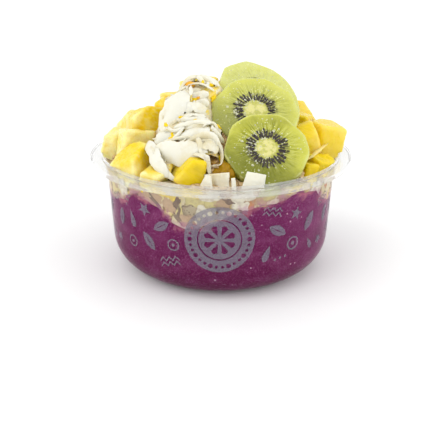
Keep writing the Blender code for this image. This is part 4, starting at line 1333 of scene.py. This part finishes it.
# The ribbons of coconut that run over the heap: their width, how they lean at both ends, and the
# places they pass through from above with their lift, in millimetres and degrees.
RIBBONS = (
    (3.4, 50, 75, ((-17, -42, 2.4), (-13, -39.5, 3.4), (-8, -38, 4.2), (-3.5, -37.5, 4.4),
                   (-0.5, -39.5, 4.2), (0.6, -44, 3.8), (-0.5, -48.5, 3.2), (-4, -51.5, 2.6))),
    (3.0, 25, 5, ((-13, -40, 3.4), (-11.5, -44, 3.2), (-9.5, -47.5, 2.4), (-7.5, -51, 2.0),
                  (-5.5, -53, 1.6))),
    (7.0, -8, 6, ((-10.5, -43.5, 2.2), (-6, -43, 2.8), (-2, -43.5, 2.4))),
    (2.0, 30, 50, ((-6, -34, 2.2), (-2.5, -34.5, 3.0), (0.5, -34.5, 2.8))),
    (2.4, 10, 40, ((-5, -36.5, 2.4), (-1.8, -36.5, 3.2), (0.8, -37.5, 2.8))),
    (1.6, -30, 20, ((-7, -31, 2.6), (-3, -31.5, 3.2), (0, -33, 2.6))),
    (8.0, -18, -10, ((-21, -35.5, 1.8), (-16, -34, 2.6), (-11, -33.5, 3.0), (-5.5, -35.5, 2.4))),
    (2.2, 45, 35, ((-25, -32, 2.4), (-19, -30.5, 3.4), (-12, -30, 3.8), (-5, -32, 3.0))),
    (5.4, 24, 6, ((-20, -19.5, 2.4), (-14.5, -19, 3.4), (-8.0, -20.5, 2.2))),
    (5.6, -20, -30, ((-20.5, -23.5, 2.2), (-14.5, -24, 3.2), (-8.0, -24.5, 2.2))),
    (3.0, 30, 40, ((-21.5, -27.0, 2.4), (-13.5, -27.5, 3.2), (-7.5, -28.5, 2.4))),
    (4.0, 28, 20, ((-26, -8, 2.8), (-18, -10, 3.4), (-11, -9.5, 3.2), (-6.5, -8, 2.4))),
    (1.7, 35, 20, ((-32, -30, 2.2), (-28.5, -31.5, 3.0), (-24, -33, 3.0), (-18.5, -31.5, 2.8))),
    (1.6, 35, 50, ((-26.5, -40, 3.2), (-23, -36.5, 3.4), (-19.5, -32.5, 3.2))),
    (2.6, 50, 35, ((-38.5, -40.5, 2.2), (-37.5, -44, 2.8), (-35, -49.5, 2.4))),
    (1.5, 20, 60, ((-30, -37.5, 2.6), (-24, -39.5, 3.4), (-18, -38.5, 3.2), (-13, -40, 3.0))),
    (2.2, 15, 70, ((-24, -2, 2.0), (-18, 1, 3.4), (-12, 2, 3.6), (-6, 0, 2.6))),
    (6.0, 4, -4, ((-16, -12, 1.4), (-11, -12.5, 1.8), (-7, -12.5, 1.0))),
    (1.8, -40, 20, ((-20, 4, 1.8), (-14, 4, 3.6), (-8, 6, 2.2))),
    (2.4, 60, 10, ((-15, 10, 1.8), (-13, 3, 4.0), (-9, -3, 2.6))),
    (1.3, 55, 20, ((-38, -38, 3.4), (-36, -43, 4.0), (-32, -48.5, 3.6), (-28, -52, 2.6))),
    (1.2, -50, -20, ((-35.5, -40, 3.6), (-33, -45, 3.8), (-29.5, -49.5, 3.0))),
)


def sheet_faces(along, across):
    """The faces of a sheet whose points are listed row by row."""
    step = across + 1
    return [(a * step + b, (a + 1) * step + b, (a + 1) * step + b + 1, a * step + b + 1)
            for a in range(along) for b in range(across)]


def smooth_path(spots, steps):
    """A smooth path through some spots."""
    path = []
    padded = [2 * spots[0] - spots[1], *spots, 2 * spots[-1] - spots[-2]]
    for before, start, end, after in zip(padded, padded[1:], padded[2:], padded[3:]):
        path += interpolate_bezier(start, start + (end - before) / 6, end - (after - start) / 6,
                                   end, steps)[:-1]
    return path + [spots[-1]]


def ribbon(luck, tree, width, first_lean, last_lean, places):
    """The mid-surface of one ribbon over the heap: its points and its faces."""
    across = 6
    phase = luck.uniform(0, 20)
    hits = [tree.ray_cast(Vector((x * MM, y * MM, OVERHEAD)), Vector((0, 0, -1)))
            for x, y, _ in places]
    normal = sum((hit[1] for hit in hits), Vector()).normalized()
    path = smooth_path([hit[0] + normal * row[2] * MM for hit, row in zip(hits, places)], 10)
    points = []
    for k, spot in enumerate(path):
        s = k / (len(path) - 1)
        run = (path[min(k + 1, len(path) - 1)] - path[max(k - 1, 0)]).normalized()
        lean = first_lean + s * (last_lean - first_lean) + 30 * noise.noise((3 * s, phase, 5))
        turn = Matrix.Rotation(math.radians(lean), 3, run)
        side = turn @ normal.cross(run).normalized()
        up = turn @ normal
        half = 0.5 * width * (1 - abs(2 * s - 1) ** 7) ** 0.5
        half = max(half, 0.12 * width) * (1 + 0.25 * noise.noise((5 * s, phase, 1)))
        for j in range(across + 1):
            t = 2 * j / across - 1
            out = half * t * (1 + 0.10 * noise.noise((9 * s, 2 * t, phase)))
            lift = 0.35 * half * (0.5 - t * t) + 0.3 * noise.noise((4 * s, 2 * t, phase + 3))
            points.append(spot + (side * out + up * lift) * MM)
    return points, sheet_faces(len(path) - 1, across)


def lie_on(tree, x, y, heading, roll, lift):
    """The matrix that lays a thing on a heap, or nothing where the heap has no surface."""
    hit, normal, _, _ = tree.ray_cast(Vector((x, y, OVERHEAD)), Vector((0, 0, -1)))
    if hit is None:
        return None
    across = (Vector((1, 0, 0)) - normal * normal.x).normalized()
    base = Matrix((across, normal.cross(across), normal)).transposed()
    turn = Matrix.Rotation(math.radians(heading), 3, "Z") @ Matrix.Rotation(
        math.radians(roll), 3, "X")
    return Matrix.LocRotScale(hit + normal * lift, (base @ turn).to_quaternion(), None)


def shaving(luck, length, width, curl):
    """The mid-surface of one thin curled shaving round the origin: its points and its faces."""
    along, across = 26, 6
    phase = luck.uniform(0, 20)
    cup = luck.uniform(0.1, 0.8)
    twist = math.radians(luck.uniform(-25, 25))
    bend = math.radians(curl)
    spine, points = [], []
    x, z = 0.0, 0.0
    for k in range(along + 1):
        s = 2 * k / along - 1
        heading = bend * (0.5 * s + 0.12 * s * s) + 0.12 * math.sin(4 * s + phase)
        spine.append((x, z, heading, s))
        x += math.cos(heading) * length / along
        z -= math.sin(heading) * length / along
    middle_x = sum(row[0] for row in spine) / len(spine)
    middle_z = sum(row[1] for row in spine) / len(spine)
    for x, z, heading, s in spine:
        half = 0.5 * width * (1 - abs(s) ** 3.5) ** 0.6 * (1 + 0.2 * noise.noise((2 * s, phase, 0)))
        half = max(half, 0.06 * width)
        lean = 0.12 * width * noise.noise((2 * s, phase, 9))
        for j in range(across + 1):
            t = 2 * j / across - 1
            side = half * t * (1 + 0.14 * abs(t) * noise.noise((8 * s, t + phase, 3))) + lean
            lift = 0.5 * cup * half * (0.5 - t * t) + 0.25 * noise.noise((3 * s, 2 * t, phase))
            y = side * math.cos(twist * s) - lift * math.sin(twist * s)
            up = side * math.sin(twist * s) + lift * math.cos(twist * s)
            points.append(Vector((x - middle_x + up * math.sin(heading), y,
                                  z - middle_z + up * math.cos(heading))) * MM)
    return points, sheet_faces(along, across)


def laid(tree, luck, x, y, heading, length, width, curl, roll, lift):
    """One shaving laid on the heap: its points and its faces."""
    points, faces = shaving(luck, length, width, curl)
    place = lie_on(tree, x * MM, y * MM, heading, roll, lift * MM)
    return [place @ point for point in points], faces


def thin_sheets(name, sheets, thickness):
    """One piece of thin sheets, each given as the points and faces of its mid-surface."""
    verts, faces, shades = [], [], []
    luck = random.Random(name)
    for points, sides in sheets:
        start = len(verts)
        verts.extend(points)
        faces.extend(tuple(start + k for k in side) for side in sides)
        shades.extend([luck.random()] * len(points))
    piece = new_piece(name, verts, faces=faces)
    store(piece, "shade", shades)
    apply_modifier(piece, "SOLIDIFY", thickness=thickness, offset=0.0)
    with editing(piece):
        bpy.ops.mesh.normals_make_consistent(inside=False)
    select_only(piece)
    bpy.ops.object.shade_smooth_by_angle(angle=math.radians(50))
    return piece


def small_shreds(coconut, tree):
    """Small shreds over the heap, clear of the kiwi, each given as in SHAVINGS."""
    luck = random.Random(3)
    kiwi = tree_of(nodes_named("kiwi"))
    low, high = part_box("coconut_flakes")
    specs = []
    for _ in range(4000):
        x = luck.uniform(low.x + 2 * MM, high.x - 2 * MM)
        y = luck.uniform(low.y + 3 * MM, high.y - 2 * MM)
        size = luck.uniform(5, 12)
        place = lie_on(tree, x, y, 0, 0, MM)
        if place is None or kiwi.find_nearest(place.translation, 0.7 * size * MM)[0] is not None:
            continue
        specs.append((x / MM, y / MM, luck.uniform(0, 360), size, luck.uniform(0.9, 2.4),
                      luck.uniform(10, 100), luck.uniform(-40, 40), luck.uniform(0.4, 1.6)))
        if len(specs) == coconut.shreds:
            break
    return specs


# The bits of fruit and nut in the gaps of the coconut and beside it, and those on its shavings:
# which kind, their place from above and size in millimetres. The kinds are yellow, orange,
# brown, mango coloured in painted shade, and pale.
PALE_BIT = 4
SCRAPS = (
    (0, -14.5, -14, 3.2), (0, -25, -35, 3.0), (0, -31.5, -42, 1.8), (0, -7, -41.5, 2.2),
    (1, -17, -2, 3.2), (0, -6.5, 0, 2.6), (0, -4.5, -7, 2.2), (0, -25, 0, 2.4),
    (2, -4, -46.5, 3.0), (2, -2, -38, 2.2), (0, -38, -32, 2.4), (1, -21, -29, 2.0),
    (0, -19, -35, 2.2), (2, -9, -49, 2.2), (0, -2, -29, 2.2), (1, -12, 8, 2.6),
    (3, 2.5, -49.5, 6.0), (3, 4.5, -51.0, 5.0), (3, -1.5, -52, 3.2), (0, 4.5, -52.5, 3.0),
    (2, -5, -54, 2.6), (0, -40, -47, 3.4), (1, -43, -40, 2.6), (0, 1.5, -43, 3.0),
)
TOP_SCRAPS = (
    (0, -15.3, -13.0, 2.3), (1, -12.6, -12.6, 1.2), (0, -25.5, -33.5, 2.4), (0, -29.0, -33.0, 1.6),
    (1, -31.0, -43.0, 1.2), (0, -7.5, -39.0, 1.3), (1, -6.0, -38.5, 1.0), (2, -36.0, -31.0, 1.5),
    (0, -34.5, -34.0, 1.7), (2, -37.0, -34.5, 1.2), (0, -21.5, -26.0, 1.1), (1, -17.0, -1.0, 1.5),
    (0, -10.0, -3.0, 1.4), (0, -26.5, -37.5, 1.0), (1, -23.0, -39.0, 0.8), (0, -13.5, -30.0, 0.9),
)

# The sliver of fruit that leans on the mango beside the front slice: its ends, and its half width
# and half thickness, in millimetres.
SLIVER = ((58.8, -15.6, 75.6), (47.6, -34.0, 72.6), 1.5, 0.8)


def sliver_place():
    """The matrix that stretches a small bit into the sliver."""
    start, end = Vector(SLIVER[0]) * MM, Vector(SLIVER[1]) * MM
    along = (end - start).to_track_quat("X", "Z")
    size = Vector((0.56 * (end - start).length / MM, SLIVER[2], SLIVER[3]))
    return Matrix.LocRotScale(0.5 * (start + end), along, size)


def tuck_behind(piece, slice_node):
    """Push back what would hide the face of a kiwi slice."""
    place = SliceFrame(slice_node)
    inside = place.inside(points_of(piece))
    _, rho = place.round_core(inside)
    hidden = np.clip((1.12 - rho) / 0.12, 0.0, 1.0)
    behind = 2 * MM
    depth = np.where(inside[:, 2] > -behind, inside[:, 2] + behind, 0.0)
    inside[:, 2] -= hidden * depth
    set_points(piece, inside @ place.axes() + np.array(place.middle))


def scrap_models():
    """Yellow, orange, brown, mango painted in shade, and pale bits, each one millimetre in radius
    at the origin.
    """
    models = []
    for seed in (10, 10, 9, 15, 8):
        model = added(bpy.ops.mesh.primitive_ico_sphere_add, subdivisions=3, radius=MM)
        for vert in model.data.vertices:
            way = vert.co / MM
            vert.co *= 0.85 + 0.5 * noise.noise(1.3 * way + Vector((seed, 0, 0)))
            vert.co.z *= 0.6
        models.append(model)
    return models


def scrap_finish(fruit, granola):
    """The bits on and between the shavings: yellow, orange, brown, painted-shade mango or pale."""
    scrap = Finish("scraps", Roughness=0.35, Specular_IOR_Level=0.2, Subsurface_Weight=0.1,
                   Subsurface_Scale=1.0 * MM)
    pick = scrap.kept("pick")
    grain = scrap.clouds(scrap.place(), 500, 3.0)
    body = scrap.mix(pick > 1.0, fruit.pineapple, (0.86, 0.42, 0.03))
    body = scrap.mix(pick > 2.0, body, granola.toasted)
    body = scrap.over(body, fruit.mango_pale, grain, 0.5, 0.7, 0.0, 0.3)
    # Painted shade: these bits are mango coloured as it looks in shadow.
    mango_in_shade = scrap.mix(grain, (0.24, 0.12, 0.001), (0.44, 0.25, 0.002))
    body = scrap.mix(pick > 3.0, body, mango_in_shade)
    pale = scrap.mix(grain, (0.84, 0.66, 0.20), (0.88, 0.74, 0.30))
    body = scrap.mix(pick > 4.0, body, pale)
    scrap.feed("Base Color", body)
    scrap.relief(grain, 0.3 * MM, 0.5)
    return scrap.material


def coconut_finish(coconut):
    """White coconut flesh with faint lines, some shavings creamier than others."""
    flesh = Finish("coconut", Roughness=0.45, Subsurface_Weight=0.3, Specular_IOR_Level=0.3,
                   Subsurface_Radius=(1.0, 0.9, 0.7), Subsurface_Scale=1.6 * MM)
    place = flesh.place()
    soft = flesh.clouds(place, 110, 3.0)
    lines = flesh.clouds(flesh.stretch(place, (1, 0.25, 1)), 900, 3.0)
    creamy = soft + 0.25 * flesh.kept("shade")
    body = flesh.mix(flesh.span(creamy, 0.5, 0.85), coconut.white, coconut.cream)
    body = flesh.over(body, (0.95, 0.94, 0.90), lines, 0.55, 0.75, 0.0, 0.3)
    flesh.feed("Base Color", body)
    flesh.relief(lines, 0.12 * MM, 0.3)
    return flesh.material


def heap_finish(coconut, fruit):
    """What shows deep between the shavings: small shreds wet with yellow juice."""
    deep = Finish("coconut_depth", Roughness=0.4, Subsurface_Weight=0.1,
                  Subsurface_Scale=1.0 * MM)
    place = deep.place()
    juicy = deep.clouds(place, 150, 3.0)
    fine = deep.clouds(deep.stretch(place, (1, 0.4, 1)), 700, 3.0)
    body = deep.mix(deep.span(juicy, 0.46, 0.56), coconut.cream, fruit.mango_pale)
    body = deep.over(body, coconut.white, fine, 0.5, 0.65, 0.0, 0.7)
    body = deep.over(body, (0.60, 0.44, 0.17), juicy, 0.34, 0.42, 0.4, 0.0)
    deep.feed("Base Color", body)
    deep.relief(fine + juicy, 0.6 * MM, 0.7)
    return deep.material


def heap_core(coconut):
    """The soft core of the heap, clear of the kiwi slice behind it."""
    core = copy_of("coconut_flakes", "coconut_heap")
    remesh(core, coconut.grain, rounds=60)
    tuck_behind(core, "kiwi_slice_middle")
    return core


def scrap_places(ground, shavings):
    """Where the bits lie, each turned its own way: on the ground, on the shavings, the sliver."""
    places = []
    rows = [(ground, row) for row in SCRAPS] + [(shavings, row) for row in TOP_SCRAPS]
    for k, (below, (pick, x, y, size)) in enumerate(rows):
        place = lie_on(below, x * MM, y * MM, 37 * k, 0, 0.3 * size * MM)
        if place is not None:
            places.append((pick, place @ Matrix.Diagonal((size, 0.8 * size, size, 1))))
    return places + [(PALE_BIT, sliver_place())]


class MakeCoconut(bpy.types.Operator):
    """Heap the shaved coconut on the front slope"""

    bl_idname = "bowl.make_coconut"
    bl_label = "Shaved coconut"

    def execute(self, context):
        coconut = context.scene.bowl_coconut
        fruit = context.scene.bowl_fruit
        core = heap_core(coconut)
        tree = tree_over([core.data])
        beside = nodes_named("granola") + nodes_named("mango_1") + nodes_named("pineapple_2")
        ground = tree_over([core.data] + [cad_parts[node].data for node in beside])
        luck = random.Random(8)
        sheets = [laid(ground, luck, *spec) for spec in SHAVINGS]
        sheets += [ribbon(luck, ground, *spec) for spec in RIBBONS]
        large = thin_sheets("coconut_shavings", sheets, coconut.thickness)
        sheets = [laid(tree, luck, *spec) for spec in small_shreds(coconut, tree)]
        small = thin_sheets("coconut_shreds", sheets, coconut.thickness)
        bits = scrap_places(ground, tree_over([core.data, large.data]))
        scraps = strew("fruit_scraps", scrap_models(), bits)
        push_out(core, 3.0 * MM, 1.0 * MM)
        smooth_shade(core)
        finish = coconut_finish(coconut)
        dress(core, heap_finish(coconut, fruit), ["coconut_flakes"])
        dress(large, finish)
        dress(small, finish)
        dress(scraps, scrap_finish(fruit, context.scene.bowl_granola))
        return {"FINISHED"}


class MakeChips(bpy.types.Operator):
    """Model the white chips that stand between the fruit and the front rim"""

    bl_idname = "bowl.make_chips"
    bl_label = "Coconut chips"

    def execute(self, context):
        coconut = context.scene.bowl_coconut
        finish = coconut_finish(coconut)
        for node in nodes_named("coconut_chip"):
            piece = copy_of(node, node + "_flesh")
            remesh(piece, coconut.chip_grain)
            push_out(piece, 4.0 * MM, 0.5 * MM)
            store(piece, "shade", np.full(len(piece.data.vertices), random.Random(node).random()))
            smooth_shade(piece)
            dress(piece, finish, [node])
        return {"FINISHED"}


# Print ------------------------------------------------------------------------------------------

PRINT_LEVEL = 40 * MM        # the height at which the flat print is true to size
REPEATS = 3                  # how often the badge and its motifs come round the tub
BADGE_ALONG = -0.3           # how far the badge stands from the front's middle, in millimetres
STRIP = 2 * MM               # how wide the strips are that the print is bent in


def circle(x, y, radius, sides=28):
    """A round loop."""
    turns = [2 * math.pi * k / sides for k in range(sides)]
    return [(x + radius * math.cos(turn), y + radius * math.sin(turn)) for turn in turns]


def badge(radius):
    """A disc with a ring of dots and a slice of citrus left clear."""
    spots, wedges, gap = 30, 8, 0.32
    loops = [circle(0, 0, radius, 96)]
    for k in range(spots):
        turn = 2 * math.pi * k / spots
        size = (0.045 if k % 3 else 0.07) * radius
        spot = (0.84 * radius * math.cos(turn), 0.84 * radius * math.sin(turn))
        loops.append(circle(*spot, size, 14))
    loops += [circle(0, 0, 0.63 * radius, 72), circle(0, 0, 0.59 * radius, 72)]
    for k in range(wedges):
        start = 2 * math.pi * k / wedges + 0.5 * gap
        end = start + 2 * math.pi / wedges - gap
        middle = 0.5 * (start + end)
        wedge = [(0.12 * radius * math.cos(middle), 0.12 * radius * math.sin(middle))]
        for step in range(9):
            turn = start + (end - start) * step / 8
            reach = (0.46 - 0.05 * abs(step - 4) / 4) * radius
            wedge.append((reach * math.cos(turn), reach * math.sin(turn)))
        loops.append(wedge)
    return loops


def leaf(size):
    """A leaf with its midrib left clear."""
    steps = [k / 12 for k in range(13)]
    top = [(size * (s - 0.5), 0.24 * size * math.sin(math.pi * s) ** 0.8) for s in steps]
    bottom = [(x, -y) for x, y in reversed(top[1:-1])]
    rib = [(-0.36 * size, 0.0), (0.0, 0.022 * size), (0.36 * size, 0.0), (0.0, -0.022 * size)]
    return [top + bottom, rib]


def ring(size):
    """A ring with a dot in it."""
    return [circle(0, 0, 0.5 * size), circle(0, 0, 0.38 * size), circle(0, 0, 0.14 * size, 16)]


def star(size):
    """A five-pointed star."""
    turns = [math.pi * k / 5 + 0.3 for k in range(10)]
    reach = [0.5 * size if k % 2 else 0.22 * size for k in range(10)]
    return [[(r * math.cos(turn), r * math.sin(turn)) for r, turn in zip(reach, turns)]]


def drop(size):
    """A drop."""
    turns = [2 * math.pi * k / 24 for k in range(24)]
    return [[(0.28 * size * math.sin(t) * math.sin(t / 2) ** 1.4, 0.5 * size * math.cos(t))
             for t in turns]]


def zigzag(size):
    """Two zigzag lines."""
    teeth = 6
    top = [(size * (k / teeth - 0.5), 0.09 * size * (1 if k % 2 else -1)) for k in range(teeth + 1)]
    lines = []
    for shift in (-0.12 * size, 0.12 * size):
        edge = [(x, y + shift) for x, y in top]
        lines.append(edge + [(x, y - 0.09 * size) for x, y in reversed(edge)])
    return lines


def dots(size):
    """Three dots in a row."""
    return [circle(0.4 * size * k, 0, 0.09 * size, 14) for k in (-1, 0, 1)]


# The motifs round the badge, as the motif, the place along the wall and up it, size and turn.
MOTIFS = (
    (leaf, -32.5, 42.5, 11, 30), (ring, -25.5, 33, 7, 0), (zigzag, -28, 23.5, 12, 14),
    (star, -43, 50, 8.5, 0), (leaf, -41, 32, 12, -50), (drop, -53, 42, 10, 15),
    (dots, -56, 52, 8, 60), (ring, -54, 28.5, 7, 0), (leaf, -64, 40, 11, 80),
    (drop, 25.5, 28, 10, -20), (zigzag, 28, 52.5, 11, -12), (leaf, 31.5, 40.5, 12, 150),
    (ring, 42, 31, 8, 0), (star, 43, 48, 8, 20), (dots, 34, 24, 8, 10),
    (leaf, 54, 41, 12, 60), (drop, 56, 27, 8, 30), (zigzag, 66, 51, 10, 20),
    (star, 66, 26, 7, 0),
)


def flat_print(loops, x, y, turn, film):
    """A flat motif of ink, its loops cut out of one another, as a mesh in its place."""
    curve = bpy.data.curves.new("motif", "CURVE")
    curve.dimensions = "2D"
    curve.fill_mode = "BOTH"
    curve.extrude = 0.5 * film
    lean = Matrix.Rotation(math.radians(turn), 2)
    for loop in loops:
        spline = curve.splines.new("POLY")
        spline.points.add(len(loop) - 1)
        spline.use_cyclic_u = True
        for point, corner in zip(spline.points, loop):
            spot = lean @ Vector(corner)
            point.co = ((x + spot.x) * MM, (y + spot.y) * MM, 0.0, 1.0)
    piece = bpy.data.objects.new("motif", curve)
    bpy.context.scene.collection.objects.link(piece)
    select_only(piece)
    bpy.ops.object.convert(target="MESH")
    return bpy.context.object


def cut_in_strips(normal, strips, shift):
    """Cut what is in edit mode into numbered strips, shifted so that no corner is on a cut."""
    for k in strips:
        bpy.ops.mesh.select_all(action="SELECT")
        bpy.ops.mesh.bisect(plane_co=Vector(normal) * (k * STRIP + shift), plane_no=normal)


def wrap_round_tub(piece, film):
    """Cut a flat print into narrow strips and wrap it round the tub's outer face."""
    with editing(piece):
        bpy.ops.mesh.remove_doubles(threshold=0.002 * MM)
        cut_in_strips((1, 0, 0), range(-104, 105), 0.13 * MM)
        cut_in_strips((0, 1, 0), range(5, 29), 0.17 * MM)
    flat = points_of(piece)
    turn = flat[:, 0] / wall_radius(PRINT_LEVEL)
    reach = wall_radius(flat[:, 1]) + flat[:, 2] + 0.3 * film
    wrapped = np.stack([reach * np.sin(turn), -reach * np.cos(turn), flat[:, 1]], axis=1)
    set_points(piece, wrapped)
    with editing(piece):
        bpy.ops.mesh.normals_make_consistent(inside=False)


def ink_finish(ink):
    """Thin, slightly uneven ink that the blend shows through."""
    print_ink = Finish("print_ink", Roughness=0.5, Alpha=0.34)
    grain = print_ink.clouds(print_ink.place(), 1400, 2.0)
    shade = (ink[0] * 0.86, ink[1] * 0.84, ink[2] * 0.88)
    print_ink.feed("Base Color", print_ink.mix(print_ink.span(grain, 0.35, 0.65), ink, shade))
    print_ink.relief(grain, 0.05 * MM, 0.3)
    return print_ink.material


class MakePrint(bpy.types.Operator):
    """Print a plain badge and small motifs on the tub"""

    bl_idname = "bowl.make_print"
    bl_label = "Print"

    def execute(self, context):
        settings = context.scene.bowl_print
        film = settings.film
        repeat = 2 * math.pi * wall_radius(PRINT_LEVEL) / MM / REPEATS
        disc = badge(settings.badge_radius / MM)
        height = settings.badge_height / MM
        motifs = []
        for k in range(REPEATS):
            shift = (k - 1) * repeat
            motifs.append(flat_print(disc, shift + BADGE_ALONG, height, 0, film))
            for shape, x, y, size, turn in MOTIFS:
                motifs.append(flat_print(shape(size), x + shift, y, turn, film))
        piece = join(motifs, "tub_print")
        wrap_round_tub(piece, film)
        dress(piece, ink_finish(settings.ink))
        return {"FINISHED"}


# Stage ------------------------------------------------------------------------------------------

def lay_floor(stage):
    """A wide floor of pale paper."""
    floor = added(bpy.ops.mesh.primitive_plane_add, size=12.0, location=(0, 0, -0.02 * MM))
    floor.name = "floor"
    paper = Finish("floor_paper", Roughness=0.8)
    soft = paper.clouds(paper.place(), 6.0, 2.0)
    shade = tuple(0.985 * part for part in stage.floor)
    paper.feed("Base Color", paper.mix(soft, stage.floor, shade))
    floor.data.materials.append(paper.material)


def set_camera(stage):
    """The camera, where the photograph was taken from."""
    camera = added(bpy.ops.object.camera_add, location=(0, -stage.distance, stage.height),
                   rotation=(stage.tilt, 0, stage.pan))
    camera.data.lens = stage.lens
    camera.data.clip_start = 0.01
    bpy.context.scene.camera = camera


def set_lights(stage):
    """Two soft lamps that look at the bowl, and even light from all round."""
    for place, strength in (((-0.7, -0.35, 0.65), stage.key), ((0.9, -0.35, 0.5), stage.fill)):
        lamp = added(bpy.ops.object.light_add, type="SUN", location=place)
        lamp.data.energy = strength
        lamp.data.angle = math.radians(50)
        lamp.rotation_euler = lamp.location.to_track_quat("Z", "Y").to_euler()
    world = bpy.data.worlds.new("soft_light")
    world.use_nodes = True
    sky = world.node_tree.nodes["Background"]
    sky.inputs["Color"].default_value = (1, 1, 1, 1)
    sky.inputs["Strength"].default_value = stage.sky
    bpy.context.scene.world = world


class MakeStage(bpy.types.Operator):
    """Set the camera of the photograph, the pale floor and the soft light"""

    bl_idname = "bowl.make_stage"
    bl_label = "Camera, floor and light"

    def execute(self, context):
        stage = context.scene.bowl_stage
        lay_floor(stage)
        set_camera(stage)
        set_lights(stage)
        context.scene.view_settings.view_transform = "Standard"
        return {"FINISHED"}


# Panel and registration -------------------------------------------------------------------------

MAKERS = (MakeTub, MakeBlend, MakeGranola, MakeChunks, MakeWallFruit, MakeKiwi, MakeCoconut,
          MakeChips, MakePrint, MakeStage)
SETTINGS = {
    "bowl_tub": TubSettings, "bowl_blend": BlendSettings, "bowl_granola": GranolaSettings,
    "bowl_fruit": FruitSettings, "bowl_kiwi": KiwiSettings, "bowl_coconut": CoconutSettings,
    "bowl_print": PrintSettings, "bowl_stage": StageSettings,
}


class BowlPanel(bpy.types.Panel):
    """The bowl's pieces, in the 3D view's sidebar"""

    bl_idname = "VIEW3D_PT_pitaya_bowl"
    bl_label = "Pitaya bowl"
    bl_space_type = "VIEW_3D"
    bl_region_type = "UI"
    bl_category = "Bowl"

    def draw(self, context):
        for maker in MAKERS:
            self.layout.operator(maker.bl_idname)
        for name, group in SETTINGS.items():
            box = self.layout.box()
            box.label(text=group.__doc__)
            for setting in group.__annotations__:
                box.prop(getattr(context.scene, name), setting)


def register():
    """Add the settings, the operators and the panel."""
    for name, group in SETTINGS.items():
        bpy.utils.register_class(group)
        setattr(bpy.types.Scene, name, PointerProperty(type=group))
    for maker in (*MAKERS, BowlPanel):
        bpy.utils.register_class(maker)


def unregister():
    """Take them out again."""
    for maker in (BowlPanel, *reversed(MAKERS)):
        bpy.utils.unregister_class(maker)
    for name, group in SETTINGS.items():
        delattr(bpy.types.Scene, name)
        bpy.utils.unregister_class(group)


def main():
    """Make every piece in order."""
    register()
    for maker in MAKERS:
        group, name = maker.bl_idname.split(".")
        getattr(getattr(bpy.ops, group), name)()


if __name__ == "__main__":
    main()
